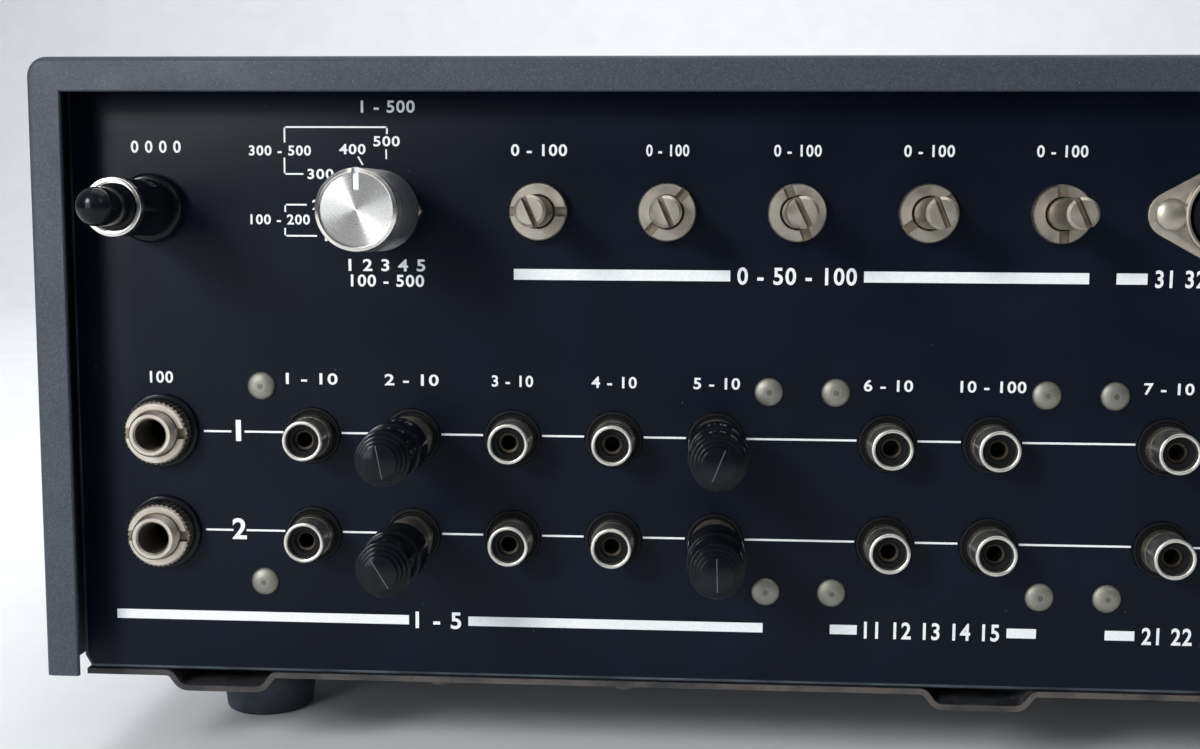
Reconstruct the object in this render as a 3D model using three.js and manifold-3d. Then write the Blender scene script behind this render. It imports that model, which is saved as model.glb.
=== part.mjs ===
// Stereo preamplifier, seen from its sockets: millimetres, +Z up, front panel towards -Y, sockets towards +Y.
// The origin lies on the surface that the feet stand on, under the middle of the whole outline.

import * as THREE from "three";
import { mergeVertices } from "three/addons/utils/BufferGeometryUtils.js";
import Module from "manifold-3d";

const wasm = await Module();
wasm.setup();

// Clearances and counts that every piece shares.
const fit = 0.15; // between pieces that are fastened together
const running = 0.3; // between a piece that moves and what guides it
const overrun = 1; // how far a cut runs past the face that it opens
const mergeDistance = 0.0001;
const arcSteps = 4;
const roundSides = 16;
const smallSides = 12;
const tinySides = 6;

// Cover: a sheet folded over the top and both sides, its rear edge turned in.
const coverWidth = 384;
const coverHeight = 127;
const coverDepth = 272;
const coverSheet = 1.2;
const coverCorner = 4;
const coverFlange = 6.9;
const coverRise = 1.2; // the cover's lower edge above the bottom plate's top
const ventWidth = 3;
const ventLength = 26;
const ventPitch = 9;
const ventRowGap = 10;
const ventSetback = 62; // from the cover's rear edge to the middle between the rows
const ventCount = 14;

// Bottom plate with three stamped channels, the outer two over the feet.
const plateSheet = 1.2;
const plateSideGap = 3.6;
const channelDepth = 3.2;
const channelMouth = 21.5;
const channelFloor = 17;
const channelInset = 33.8; // outer channels' middles from the cover's outside
const footInset = 31; // foot's middle from the cover's outside
const footSetback = 44.8; // foot's middle from the end of the plate
const footHeight = 17.6;
const footDiameter = 24.4;
const footTaper = 2;
const footChamfer = 0.8;

// Rear panel: a tray of sheet whose edges turn forwards.
const rearInset = 9; // inside the cover's rear edge
const rearSheet = 1.6;
const rearReturn = 12;
const rearSideGap = 3.1;
const rearTopGap = 0.6;
const rearCornerWidth = 1.4; // its lower corners are cut at a slant
const rearCornerHeight = 2.6;

// Front panel, the steel panel behind it and the side rails.
const faceOverhang = 8; // beyond the cover, each side
const faceThickness = 5;
const faceBevel = 1;
const faceTopRise = 2; // above the cover's top
const faceDrop = 4; // below the bottom plate's top
const subPanelSheet = 1.6;
const railSheet = 1.6;
const railHeight = 96;
const railFlange = 16;

// Places of the sockets and controls on the rear panel. The two insets and what lies between them add up
// to the cover's width, and the places across and up spread with a cover that is made wider or higher.
const jackInset = 54.3; // first column of jacks from the cover's outside
const jackPitch = 20.8;
const blockGap = 34.4; // from the last column of one block to the first of the next
const outputInset = 80.9; // last column of jacks from the cover's other outside
const inputColumns = 5;
const blockColumns = 2;
const smallBlocks = 3;
const jackRowHeight = 50.8; // upper row above the bottom plate's top
const sideColumnOffset = 31.7; // microphone jacks, outside the first column
const micPitch = 21.4;
const micLift = 0.3;
const controlRowHeight = 97;
const controlRowDrop = 30; // below the cover's top
const impedanceOffset = 16.1;
const levelOffset = 47;
const levelPitch = 25.8;
const levelCount = 5;

// Phono jack and the board that carries a block of them.
const jackReach = 8.6;
const jackRadius = 4.15;
const jackCollarRadius = 4.4;
const jackCollarReach = 3;
const jackRim = 0.6;
const jackFunnelDepth = 2.6;
const jackBoreRadius = 1.7;
const jackBoreDepth = 8;
const jackBushRadius = 5.7;
const jackHoleRadius = 6;
const boardThickness = 2;
const boardMargin = 15.5; // board's edge above and below the jacks' middles
const boardGap = 3.4; // between neighbouring boards
const rivetOffset = 10.5; // rivet beyond the jacks' middles, both ways
const rivetRadius = 2.9;
const rivetDome = 1.2;
const rivetShankRadius = 1.4;
const rivetHoleRadius = 1.7;
const tagLength = 5;
const tagRadius = 2.4;

// Shorting cap pushed over a jack: a metal shell, then a moulded body that steps in towards its end.
const capShellStart = 0.9;
const capShellRadius = 4.9;
const capSkirtStart = 10;
const capSkirtEnd = 18.2;
const capSkirtRadius = 5.8;
const capBevel = 0.5;
const capGripRadius = 5.3;
const capGripLength = 7.3;
const capStepCount = 3;
const capStepHeight = 1.1;
const capStepWidth = 0.65;
const capPinRadius = 1.3;
const capPinLength = 6;
const capStandOuts = [[3.5, 4], [1.8, 0]]; // pulled out at rest: upper and lower cap of each column

// Ground post: base and stud, clamp ring, thumb knob.
const groundOffset = 32.6; // outside the first column of jacks
const groundLift = 0.35; // above the row of controls
const groundFlangeRadius = 7.05;
const groundFlangeHeight = 3;
const groundFlangeBevel = 0.8;
const groundBodyRadius = 5.6;
const groundBodyReach = 18.6;
const groundStudRadius = 1.9;
const groundStudReach = 25;
const groundStudTail = 9;
const groundTailNutRadius = 5;
const groundTailNutHeight = 3;
const groundRingRadius = 5.7;
const groundRingHeight = 2;
const groundRingLip = 0.8;
const groundRingFloor = 0.7;
const groundKnobRadius = 3.7;
const groundKnobReach = 31.2;
const groundKnobDome = 3;

// Impedance switch behind the rear panel, its shaft and knob.
const switchRadius = 15;
const switchDepth = 16;
const switchShaftRadius = 3;
const switchShaftReach = 22;
const switchBushRadius = 4.5;
const switchBushReach = 6.4;
const switchNutRadius = 7.4;
const switchNutHeight = 2.4;
const rearKnobStart = 8;
const rearKnobReach = 28.2;
const rearKnobBackRadius = 8;
const rearKnobFrontRadius = 7.75;
const rearKnobRim = 0.9;
const rearKnobChamfer = 0.8;
const rearKnobDish = 0.5;
const rearKnobBoreRadius = 3.3;
const rearKnobBoreDepth = 15;

// Level controls: a row of small potentiometers, each with a slotted nut and shaft.
const potRadius = 8.5;
const potDepth = 11;
const potBoardHeight = 26;
const potBoardMargin = 14; // beyond the last potentiometer's middle
const potBoardGap = 1.9; // between the board and the impedance switch
const potBushRadius = 4;
const potBushReach = 1.3;
const potHoleRadius = 4.3;
const levelShaftRadius = 3;
const levelShaftReach = 17.5;
const levelShaftChamfer = 0.5;
const levelShaftSeat = 7; // length held inside the potentiometer
const levelBoreRadius = 3.35;
const levelSlotWidth = 1;
const levelSlotDepth = 1.6;
const levelNutRadius = 5.95;
const levelNutHeight = 2.6;
const levelNutCavity = 1.5;
const levelNutSlotWidth = 1.7;
const levelNutSlotDepth = 0.8;
const levelShaftTurns = [24, 24, 26, 22, 25];
const levelNutTurns = [90, -42, 22, -55, 4];

// Quarter inch jacks: microphones at the rear, headphones at the front.
const micBushRadius = 4.4;
const micBushReach = 7.3;
const micBoreRadius = 3.2;
const micBoreDepth = 31;
const micBodyRadius = 9;
const micBodyDepth = 26;
const micWasherRadius = 7.8;
const micWasherHeight = 1;
const micNutRadius = 6.6;
const micNutHeight = 3.8;
const micHoleRadius = 4.7;

// DIN socket with its diamond flange.
const dinFlange = 1;
const dinFlangeRadius = 10;
const dinShift = 0.6; // towards the inputs from the middle above its block
const dinEarRadius = 4.6;
const dinScrewOffset = 11.15;
const dinScrewRadius = 3.2;
const dinScrewDome = 1.3;
const dinShankRadius = 1.5;
const dinShankHoleRadius = 1.8;
const dinMouthRadius = 7.85;
const dinShellWall = 1.05;
const dinShellReach = 1.9;
const dinInsertRadius = 6.7;
const dinInsertRecess = 1;
const dinDepth = 12;
const dinGrooveDepth = 8;
const dinHoleRadius = 9.3;

// Mains outlets and mains inlet.
const outletCount = 3;
const outletPitch = 28;
const outletInset = 66; // strip's middle from the cover's outside, on the far side
const outletFlangeHeight = 27;
const outletFlangeMargin = 17;
const outletFlange = 2.4;
const outletBodyHeight = 19;
const outletBodyMargin = 12;
const outletDepth = 17;
const outletSlotWidth = 2;
const outletSlotHeight = 7.5;
const outletSlotSpacing = 12.7;
const outletSlotDepth = 14;
const inletInset = 34;
const inletDrop = 61; // below the row of controls
const inletFlangeWidth = 34;
const inletFlangeHeight = 22;
const inletFlange = 2;
const inletBodyWidth = 26;
const inletBodyHeight = 16;
const inletDepth = 20;
const inletWall = 1.6;
const inletRecessDepth = 16;
const inletPinRadius = 1.2;
const inletPinSpacing = 9.6;
const inletPinShort = 2;

// Front panel controls. Their places across are measured from the middle.
const knobStandoff = 1;
const knobChamfer = 1;
const knobDish = 0.6;
const knobShaftRadius = 3;
const knobShaftSeat = 8;
const controlBodyRadius = 12;
const controlDepth = 14;
const controlHoleRadius = 3.5;
const controlBoardThickness = 1.6;
const controlBoardMargin = 16;
const lowerRowHeight = 30; // above the bottom plate's top
const upperRowHeight = 88;
const volumeDiameter = 42;
const volumeLength = 20;
const selectorDiameter = 30;
const selectorLength = 19;
const toneDiameter = 22;
const toneLength = 18;
const volumeX = 138;
const functionX = 60;
const bassX = -78;
const trebleX = -38;
const balanceX = 2;
const modeX = 60;
const headphoneX = -128;
const powerX = -165;
const monitorX = 104;
const filterX = 138;

// Lever switches.
const leverWidth = 5;
const leverThickness = 4;
const leverReach = 17; // in front of the face
const leverSwing = 12; // degrees to each side
const leverPivotDepth = 16; // behind the face's front
const leverRootRadius = 4;
const leverBodyWidth = 14;
const leverBodyHeight = 26;
const leverBodyWall = 3;

// Level meters.
const meterWidth = 66;
const meterHeight = 44;
const meterDepth = 30;
const meterWindowWidth = 54;
const meterWindowHeight = 34;
const meterCavity = 8;
const meterLedge = 2;
const meterLeftX = -128;
const meterGap = 14; // between the two
const needleLength = 24;
const needleWidth = 1;
const needleThickness = 0.8;
const needleHubRadius = 2.4;
const needlePivotDrop = 11; // pivot below the window's middle
const needleSwing = 40; // degrees to each side
const needleBossRadius = 3.2;
const needleBossHeight = 1.6;

// Inside the case.
const transformerCore = 52;
const transformerHeight = 58;
const transformerStack = 34;
const transformerCoil = 62;
const transformerCoilHeight = 34;
const transformerFootLength = 72;
const transformerFootSheet = 2;
const transformerInset = 62; // middle from the cover's outside
const transformerSetback = 92; // middle from the rear panel
const mainBoardDepth = 128;
const mainBoardThickness = 1.6;
const mainBoardLift = 8;
const mainBoardSideGap = 32; // from the cover's outside
const mainBoardGap = 18; // from the transformer's feet
const mainBoardSetback = 122;
const standoffRadius = 3;
const standoffInset = 8;
const capacitorRadius = 9;
const capacitorHeight = 34;
const capacitorCount = 4;
const capacitorPitch = 24;
const canWidth = 60;
const canDepth = 44;
const canHeight = 30;
const canCount = 2;
const canSpacing = 70;
const canEdge = 18; // from the board's side edge

const preamp = new THREE.Group();

// Finishes.
function finish(color, roughness, metalness) {
  return new THREE.MeshStandardMaterial({ color, roughness, metalness });
}

const coverPaint = finish(0x45464a, 0.6, 0.1);
const panelPaint = finish(0x14161c, 0.45, 0.1);
const steel = finish(0x8f8f8a, 0.45, 0.9);
const aluminium = finish(0xc9c9c6, 0.35, 0.9);
const nickel = finish(0xb9b5a6, 0.3, 0.95);
const blackPlastic = finish(0x0b0c0e, 0.25, 0);
const rubber = finish(0x1c1c1e, 0.85, 0);
const phenolic = finish(0x2a1c12, 0.6, 0);
const boardGreen = finish(0x4d5a2c, 0.55, 0);
const coreIron = finish(0x3c3d3f, 0.6, 0.4);
const dialCream = finish(0xe6dfc4, 0.5, 0);
const needleBlack = finish(0x101010, 0.4, 0);

// A closed geometry as a solid that can be cut and joined.
function solidOf(geometry) {
  const bare = geometry.index ? geometry.toNonIndexed() : geometry.clone();
  bare.deleteAttribute("normal");
  bare.deleteAttribute("uv");
  const merged = mergeVertices(bare, mergeDistance);
  return new wasm.Manifold(
    new wasm.Mesh({
      numProp: 3,
      vertProperties: merged.attributes.position.array,
      triVerts: new Uint32Array(merged.index.array),
    }),
  );
}

// A box between two values along each axis.
function slab([x0, x1], [y0, y1], [z0, z1]) {
  const box = new THREE.BoxGeometry(x1 - x0, y1 - y0, z1 - z0);
  box.translate((x0 + x1) / 2, (y0 + y1) / 2, (z0 + z1) / 2);
  return solidOf(box);
}

// A range of a given size about a middle.
function about(middle, size) {
  return [middle - size / 2, middle + size / 2];
}

// A round rod along Y.
function rod(radius, [y0, y1], x = 0, z = 0, sides = roundSides) {
  const cylinder = new THREE.CylinderGeometry(radius, radius, y1 - y0, sides);
  cylinder.translate(x, (y0 + y1) / 2, z);
  return solidOf(cylinder);
}

// A turned piece about the Y axis. The profile gives radius and height above the seat, from the seat
// outwards, and facing is 1 for a piece that points backwards and -1 for one that points forwards.
function turned(profile, facing = 1, sides = roundSides) {
  const points = profile.map(([radius, height]) => new THREE.Vector2(radius, facing * height));
  if (facing < 0) points.reverse();
  return solidOf(new THREE.LatheGeometry(points, sides));
}

// A turned piece that stands upright.
function upright(profile, sides = roundSides) {
  const points = profile.map(([radius, height]) => new THREE.Vector2(radius, height));
  return solidOf(new THREE.LatheGeometry(points, sides).rotateX(Math.PI / 2));
}

// An outline in X and Z, extruded along Y.
function prism(outline, [y0, y1]) {
  const shape = new THREE.Shape(outline.map(([x, z]) => new THREE.Vector2(x, z)));
  const extruded = new THREE.ExtrudeGeometry(shape, { depth: y1 - y0, bevelEnabled: false });
  return solidOf(extruded.rotateX(Math.PI / 2).translate(0, y1, 0));
}

function joined(solids) {
  return solids.reduce((whole, next) => whole.add(next));
}

// Points of an arc about a middle, or the middle itself where the radius is nothing.
function arc(x, z, radius, from, to, steps = arcSteps) {
  if (radius <= 0) return [[x, z]];
  const points = [];
  for (let i = 0; i <= steps; i += 1) {
    const angle = from + ((to - from) * i) / steps;
    points.push([x + radius * Math.cos(angle), z + radius * Math.sin(angle)]);
  }
  return points;
}

// The outline of a sheet folded over the top and down both sides.
function arch(width, bottom, top, radius, wall) {
  const outerX = width / 2 - radius;
  const outerZ = top - radius;
  const innerRadius = Math.max(radius - wall, 0);
  const innerX = width / 2 - wall - innerRadius;
  const innerZ = top - wall - innerRadius;
  return [
    [-width / 2, bottom],
    ...arc(-outerX, outerZ, radius, Math.PI, Math.PI / 2),
    ...arc(outerX, outerZ, radius, Math.PI / 2, 0),
    [width / 2, bottom],
    [width / 2 - wall, bottom],
    ...arc(innerX, innerZ, innerRadius, 0, Math.PI / 2),
    ...arc(-innerX, innerZ, innerRadius, Math.PI / 2, Math.PI),
    [-width / 2 + wall, bottom],
  ];
}

// Adds a solid to a group as one named piece, at its own place and turn.
function place(group, name, solid, material, [x, y, z] = [0, 0, 0], turn = {}) {
  const made = solid.getMesh();
  const geometry = new THREE.BufferGeometry();
  geometry.setAttribute("position", new THREE.BufferAttribute(new Float32Array(made.vertProperties), 3));
  geometry.setIndex(new THREE.BufferAttribute(new Uint32Array(made.triVerts), 1));
  geometry.computeVertexNormals();
  const mesh = new THREE.Mesh(geometry, material);
  mesh.name = name;
  mesh.position.set(x, y, z);
  mesh.rotation.set(turn.x ?? 0, turn.y ?? 0, 0);
  group.add(mesh);
}

function radians(degrees) {
  return THREE.MathUtils.degToRad(degrees);
}

// Heights and depths that the pieces share.
const coverBottomZ = footHeight + channelDepth + plateSheet;
const coverTopZ = coverBottomZ + coverHeight;
const capReach = capSkirtEnd + capGripLength + capStepCount * capStepHeight;
const frontReach = Math.max(volumeLength + knobStandoff, leverReach);
const capReaches = capStandOuts.flat().map((standOut) => capReach + standOut);
const rearReach = Math.max(groundKnobReach, rearKnobReach, levelShaftReach, ...capReaches) - rearInset;
const wholeDepth = frontReach + faceThickness + coverDepth + rearReach;
const faceY = frontReach - wholeDepth / 2;
const coverFrontY = faceY + faceThickness;
const coverRearY = coverFrontY + coverDepth;
const rearY = coverRearY - rearInset;

// Places on the rear panel, which is read from +X to -X as someone behind the unit reads it.
const columnSteps = inputColumns - 1 + smallBlocks * (blockColumns - 1);
const rowLength = jackInset + columnSteps * jackPitch + smallBlocks * blockGap + outputInset;
const spreadShare = coverWidth / rowLength;
const columnPitch = jackPitch * spreadShare;
const blockPitch = blockGap * spreadShare;
const boardSide = (blockPitch - boardGap) / 2;
const firstJackX = coverWidth / 2 - jackInset * spreadShare;
const sideColumnX = firstJackX + sideColumnOffset * spreadShare;
const groundX = firstJackX + groundOffset * spreadShare;
const impedanceX = firstJackX - impedanceOffset * spreadShare;
const riseShare = coverHeight / (controlRowHeight + controlRowDrop);
const upperJackZ = coverBottomZ + jackRowHeight * riseShare;
const lowerJackZ = upperJackZ - jackPitch;
const jackMiddleZ = (upperJackZ + lowerJackZ) / 2;
const controlZ = coverBottomZ + controlRowHeight * riseShare;
const groundZ = controlZ + groundLift;
const micRows = [jackMiddleZ + micLift + micPitch / 2, jackMiddleZ + micLift - micPitch / 2];
const levelSteps = Array.from({ length: levelCount }, (_, i) => (levelOffset + i * levelPitch) * spreadShare);
const levelColumns = levelSteps.map((step) => firstJackX - step);
const blockStep = (blockColumns - 1) * columnPitch + blockPitch;
const tapeOneX = firstJackX - (inputColumns - 1) * columnPitch - blockPitch;
const tapeTwoX = tapeOneX - blockStep;
const outputX = tapeTwoX - blockStep;
const dinX = tapeTwoX - ((blockColumns - 1) * columnPitch) / 2 + dinShift;
const outletX = outletInset * spreadShare - coverWidth / 2;
const inletX = inletInset * spreadShare - coverWidth / 2;
const inletZ = controlZ - inletDrop * riseShare;
const jackBlocks = [
  { name: "input_jack_strip", x: firstJackX, columns: inputColumns },
  { name: "tape_one_jack_strip", x: tapeOneX, columns: blockColumns },
  { name: "tape_two_jack_strip", x: tapeTwoX, columns: blockColumns },
  { name: "output_jack_strip", x: outputX, columns: blockColumns },
];

function blockJacks(block) {
  const places = [];
  for (let i = 0; i < block.columns; i += 1) {
    for (const z of [upperJackZ, lowerJackZ]) places.push([block.x - i * columnPitch, z]);
  }
  return places;
}

function blockRivets(block) {
  const lastX = block.x - (block.columns - 1) * columnPitch;
  const places = [];
  for (const x of [block.x + rivetOffset, lastX - rivetOffset]) {
    for (const z of [upperJackZ + rivetOffset, lowerJackZ - rivetOffset]) places.push([x, z]);
  }
  return places;
}

// Pieces of the front panel, each moved across with a cover that is made wider.
function spread(pieces) {
  return pieces.map((piece) => ({ ...piece, x: piece.x * spreadShare }));
}

// Places on the front panel.
const faceWidth = coverWidth + 2 * faceOverhang;
const lowerRowZ = coverBottomZ + lowerRowHeight * riseShare;
const upperRowZ = coverBottomZ + upperRowHeight * riseShare;
const knobs = spread([
  { name: "volume_knob", x: volumeX, z: upperRowZ, diameter: volumeDiameter, length: volumeLength },
  { name: "function_knob", x: functionX, z: upperRowZ, diameter: selectorDiameter, length: selectorLength },
  { name: "bass_knob", x: bassX, z: lowerRowZ, diameter: toneDiameter, length: toneLength },
  { name: "treble_knob", x: trebleX, z: lowerRowZ, diameter: toneDiameter, length: toneLength },
  { name: "balance_knob", x: balanceX, z: lowerRowZ, diameter: toneDiameter, length: toneLength },
  { name: "mode_knob", x: modeX, z: lowerRowZ, diameter: toneDiameter, length: toneLength },
]);
const levers = spread([
  { name: "power_lever", x: powerX },
  { name: "monitor_lever", x: monitorX },
  { name: "filter_lever", x: filterX },
]);
const meters = [
  { name: "left_meter", x: meterLeftX * spreadShare },
  { name: "right_meter", x: meterLeftX * spreadShare + meterWidth + meterGap },
];
const phonesX = headphoneX * spreadShare;
const faceTopZ = coverTopZ + faceTopRise;
const faceBottomZ = coverBottomZ - faceDrop;
const subPanelBackY = faceThickness + fit + subPanelSheet; // behind the face's front

// Case pieces.
const casework = new THREE.Group();
preamp.add(casework);

function coverSolid() {
  const coverLowZ = coverBottomZ + coverRise;
  const reach = [coverFrontY + fit, coverRearY];
  const sheet = prism(arch(coverWidth, coverLowZ, coverTopZ, coverCorner, coverSheet), reach);
  const lip = [coverRearY - coverSheet, coverRearY];
  const flange = prism(arch(coverWidth, coverLowZ, coverTopZ, coverCorner, coverFlange), lip);
  const slots = [];
  for (let i = 0; i < ventCount; i += 1) {
    const x = (i - (ventCount - 1) / 2) * ventPitch;
    for (const side of [-1, 1]) {
      const y = coverRearY - ventSetback + (side * (ventLength + ventRowGap)) / 2;
      const across = [coverTopZ - coverSheet - overrun, coverTopZ + overrun];
      slots.push(slab(about(x, ventWidth), about(y, ventLength), across));
    }
  }
  return sheet.add(flange).subtract(joined(slots));
}

function plateSolid() {
  const halfWidth = coverWidth / 2 - coverSheet - plateSideGap;
  const channels = [channelInset - coverWidth / 2, 0, coverWidth / 2 - channelInset];
  const top = [[-halfWidth, coverBottomZ]];
  for (const x of channels) {
    top.push([x - channelMouth / 2, coverBottomZ]);
    top.push([x - channelFloor / 2, coverBottomZ - channelDepth]);
    top.push([x + channelFloor / 2, coverBottomZ - channelDepth]);
    top.push([x + channelMouth / 2, coverBottomZ]);
  }
  top.push([halfWidth, coverBottomZ]);
  const underside = top.map(([x, z]) => [x, z - plateSheet]).reverse();
  return prism([...top, ...underside], [coverFrontY + fit, rearY - fit]);
}

function footSolid() {
  const radius = footDiameter / 2;
  return upright([
    [0, 0],
    [radius - footTaper - footChamfer, 0],
    [radius - footTaper, footChamfer],
    [radius, footHeight - fit],
    [0, footHeight - fit],
  ]);
}

// An L-shaped rail along one side: the web stands inside the rear panel's side return.
function railSolid(side) {
  const outer = coverWidth / 2 - coverSheet - rearSideGap - rearSheet - fit;
  const low = coverBottomZ + fit;
  const webX = [side * outer, side * (outer - railSheet)].sort((a, b) => a - b);
  const flangeX = [side * outer, side * (outer - railFlange)].sort((a, b) => a - b);
  const front = faceY + subPanelBackY + fit;
  const flangeEnd = rearY - rearReturn - fit;
  const web = slab(webX, [front, flangeEnd], [low, low + railHeight]);
  const flange = slab(flangeX, [front, flangeEnd], [low, low + railSheet]);
  const tongueLow = low + rearSheet + 2 * fit;
  const tongue = slab(webX, [flangeEnd - overrun, rearY - rearSheet - fit], [tongueLow, low + railHeight]);
  return joined([web, flange, tongue]);
}

place(casework, "cover", coverSolid(), coverPaint);
place(casework, "bottom_plate", plateSolid(), steel);
place(casework, "left_rail", railSolid(-1), steel);
place(casework, "right_rail", railSolid(1), steel);
const footX = coverWidth / 2 - footInset;
const footFrontY = coverFrontY + footSetback;
const footRearY = rearY - footSetback;
place(casework, "front_left_foot", footSolid(), rubber, [-footX, footFrontY, 0]);
place(casework, "front_right_foot", footSolid(), rubber, [footX, footFrontY, 0]);
place(casework, "rear_left_foot", footSolid(), rubber, [-footX, footRearY, 0]);
place(casework, "rear_right_foot", footSolid(), rubber, [footX, footRearY, 0]);

// Rear panel and what it carries. In this group y is 0 on the panel's outer face.
const rear = new THREE.Group();
rear.position.set(0, rearY, 0);
preamp.add(rear);
const rearBack = -rearSheet - fit; // seat of the pieces inside the panel

function rearPanelSolid() {
  const halfWidth = coverWidth / 2 - coverSheet - rearSideGap;
  const low = coverBottomZ + fit;
  const high = coverTopZ - coverSheet - rearTopGap;
  const outer = slab([-halfWidth, halfWidth], [-rearReturn, 0], [low, high]);
  const inner = slab(
    [rearSheet - halfWidth, halfWidth - rearSheet],
    [-rearReturn - overrun, -rearSheet],
    [low + rearSheet, high - rearSheet],
  );
  const through = [-rearSheet - overrun, overrun];
  const holes = [];
  for (const side of [-1, 1]) {
    const corner = [
      [side * (halfWidth + rearCornerWidth), low - rearCornerHeight],
      [side * (halfWidth + rearCornerWidth), low + 2 * rearCornerHeight],
      [side * (halfWidth - 2 * rearCornerWidth), low - rearCornerHeight],
    ];
    holes.push(prism(corner, [-rearReturn - overrun, overrun]));
  }
  for (const block of jackBlocks) {
    for (const [x, z] of blockJacks(block)) holes.push(rod(jackHoleRadius, through, x, z, smallSides));
    for (const [x, z] of blockRivets(block)) holes.push(rod(rivetHoleRadius, through, x, z, tinySides));
  }
  for (const x of levelColumns) holes.push(rod(potHoleRadius, through, x, controlZ, smallSides));
  for (const z of micRows) holes.push(rod(micHoleRadius, through, sideColumnX, z));
  holes.push(rod(groundStudRadius + running, through, groundX, groundZ, smallSides));
  holes.push(rod(switchBushRadius + running, through, impedanceX, controlZ));
  holes.push(rod(dinHoleRadius, through, dinX, controlZ));
  for (const side of [-1, 1]) {
    holes.push(rod(dinShankHoleRadius, through, dinX + side * dinScrewOffset, controlZ, tinySides));
  }
  const stripWidth = (outletCount - 1) * outletPitch + 2 * outletBodyMargin + 2 * running;
  holes.push(slab(about(outletX, stripWidth), through, about(controlZ, outletBodyHeight + 2 * running)));
  const inletSize = [inletBodyWidth + 2 * running, inletBodyHeight + 2 * running];
  holes.push(slab(about(inletX, inletSize[0]), through, about(inletZ, inletSize[1])));
  return outer.subtract(inner).subtract(joined(holes));
}

// One phono jack, from the board that carries it to the mouth of its barrel.
function jackSolid() {
  return turned(
    [
      [0, rearBack],
      [jackBushRadius, rearBack],
      [jackBushRadius, 0],
      [jackCollarRadius, 0],
      [jackCollarRadius, jackCollarReach],
      [jackRadius, jackCollarReach],
      [jackRadius, jackReach],
      [jackRadius - jackRim, jackReach],
      [jackBoreRadius, jackReach - jackFunnelDepth],
      [jackBoreRadius, jackReach - jackBoreDepth],
      [0, jackReach - jackBoreDepth],
    ],
    1,
    smallSides,
  );
}

function rivetSolid() {
  const shank = rod(rivetShankRadius, [rearBack - overrun, rivetDome / 2], 0, 0, tinySides);
  const head = turned(
    [
      [0, fit],
      [rivetRadius, fit],
      [rivetRadius * Math.cos(Math.PI / 4), fit + rivetDome * Math.sin(Math.PI / 4)],
      [0, fit + rivetDome],
    ],
    1,
    smallSides,
  );
  return shank.add(head);
}

// A board behind the panel with its jacks, their solder tags and the rivets that hold it.
function jackStripSolid(block) {
  const lastX = block.x - (block.columns - 1) * columnPitch;
  const across = [lastX - boardSide, block.x + boardSide];
  const board = slab(
    across,
    [rearBack - boardThickness, rearBack],
    [lowerJackZ - boardMargin, upperJackZ + boardMargin],
  );
  const pieces = [board];
  const tagEnd = rearBack - boardThickness - tagLength;
  for (const [x, z] of blockJacks(block)) {
    pieces.push(jackSolid().translate([x, 0, z]));
    pieces.push(rod(tagRadius, [tagEnd, rearBack - boardThickness / 2], x, z, tinySides));
  }
  for (const [x, z] of blockRivets(block)) pieces.push(rivetSolid().translate([x, 0, z]));
  return joined(pieces);
}

function capSolid() {
  const steps = [[capGripRadius, capSkirtEnd]];
  for (let i = 0; i < capStepCount; i += 1) {
    const height = capSkirtEnd + capGripLength + i * capStepHeight;
    steps.push([capGripRadius - i * capStepWidth, height]);
    steps.push([capGripRadius - (i + 1) * capStepWidth, height]);
  }
  steps.push([capGripRadius - capStepCount * capStepWidth, capReach]);
  const pinEnd = jackReach - capPinLength;
  const cavity = jackRadius + running;
  const collarCavity = jackCollarRadius + running / 2;
  return turned([
    [0, pinEnd],
    [capPinRadius, pinEnd],
    [capPinRadius, jackReach + running],
    [cavity, jackReach + running],
    [cavity, jackCollarReach + running],
    [collarCavity, jackCollarReach + running],
    [collarCavity, capShellStart],
    [capShellRadius, capShellStart],
    [capShellRadius, capSkirtStart],
    [capSkirtRadius - capBevel, capSkirtStart],
    [capSkirtRadius, capSkirtStart + capBevel],
    [capSkirtRadius, capSkirtEnd - capBevel],
    ...steps,
    [0, capReach],
  ], 1, smallSides);
}

function groundBaseSolid() {
  const nutTop = rearBack;
  const body = turned([
    [0, fit],
    [groundFlangeRadius, fit],
    [groundFlangeRadius, groundFlangeHeight - groundFlangeBevel],
    [groundFlangeRadius - groundFlangeBevel, groundFlangeHeight],
    [groundBodyRadius, groundFlangeHeight],
    [groundBodyRadius, groundBodyReach],
    [0, groundBodyReach],
  ]);
  const stud = rod(groundStudRadius, [-groundStudTail, groundStudReach], 0, 0, smallSides);
  const tailNut = rod(groundTailNutRadius, [nutTop - groundTailNutHeight, nutTop], 0, 0, tinySides);
  return joined([body, stud, tailNut]);
}

function groundRingSolid() {
  const start = groundBodyReach + running;
  const bore = groundStudRadius + running;
  return turned([
    [bore, start],
    [groundRingRadius, start],
    [groundRingRadius, start + groundRingHeight],
    [groundRingRadius - groundRingLip, start + groundRingHeight],
    [groundRingRadius - groundRingLip, start + groundRingFloor],
    [bore, start + groundRingFloor],
    [bore, start],
  ]);
}

function groundKnobSolid() {
  const start = groundBodyReach + running + groundRingFloor + running;
  const lipRadius = groundRingRadius - groundRingLip - running;
  const lipTop = groundBodyReach + running + groundRingHeight - running;
  const bore = groundStudRadius + running;
  const dome = [];
  for (let i = 0; i <= arcSteps; i += 1) {
    const angle = (i / arcSteps) * (Math.PI / 2);
    const height = groundKnobReach - groundKnobDome * (1 - Math.sin(angle));
    dome.push([groundKnobRadius * Math.cos(angle), height]);
  }
  dome[arcSteps] = [0, groundKnobReach];
  return turned([
    [0, groundStudReach + running],
    [bore, groundStudReach + running],
    [bore, start],
    [lipRadius, start],
    [lipRadius, lipTop],
    [groundKnobRadius, lipTop],
    ...dome,
  ]);
}

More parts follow.
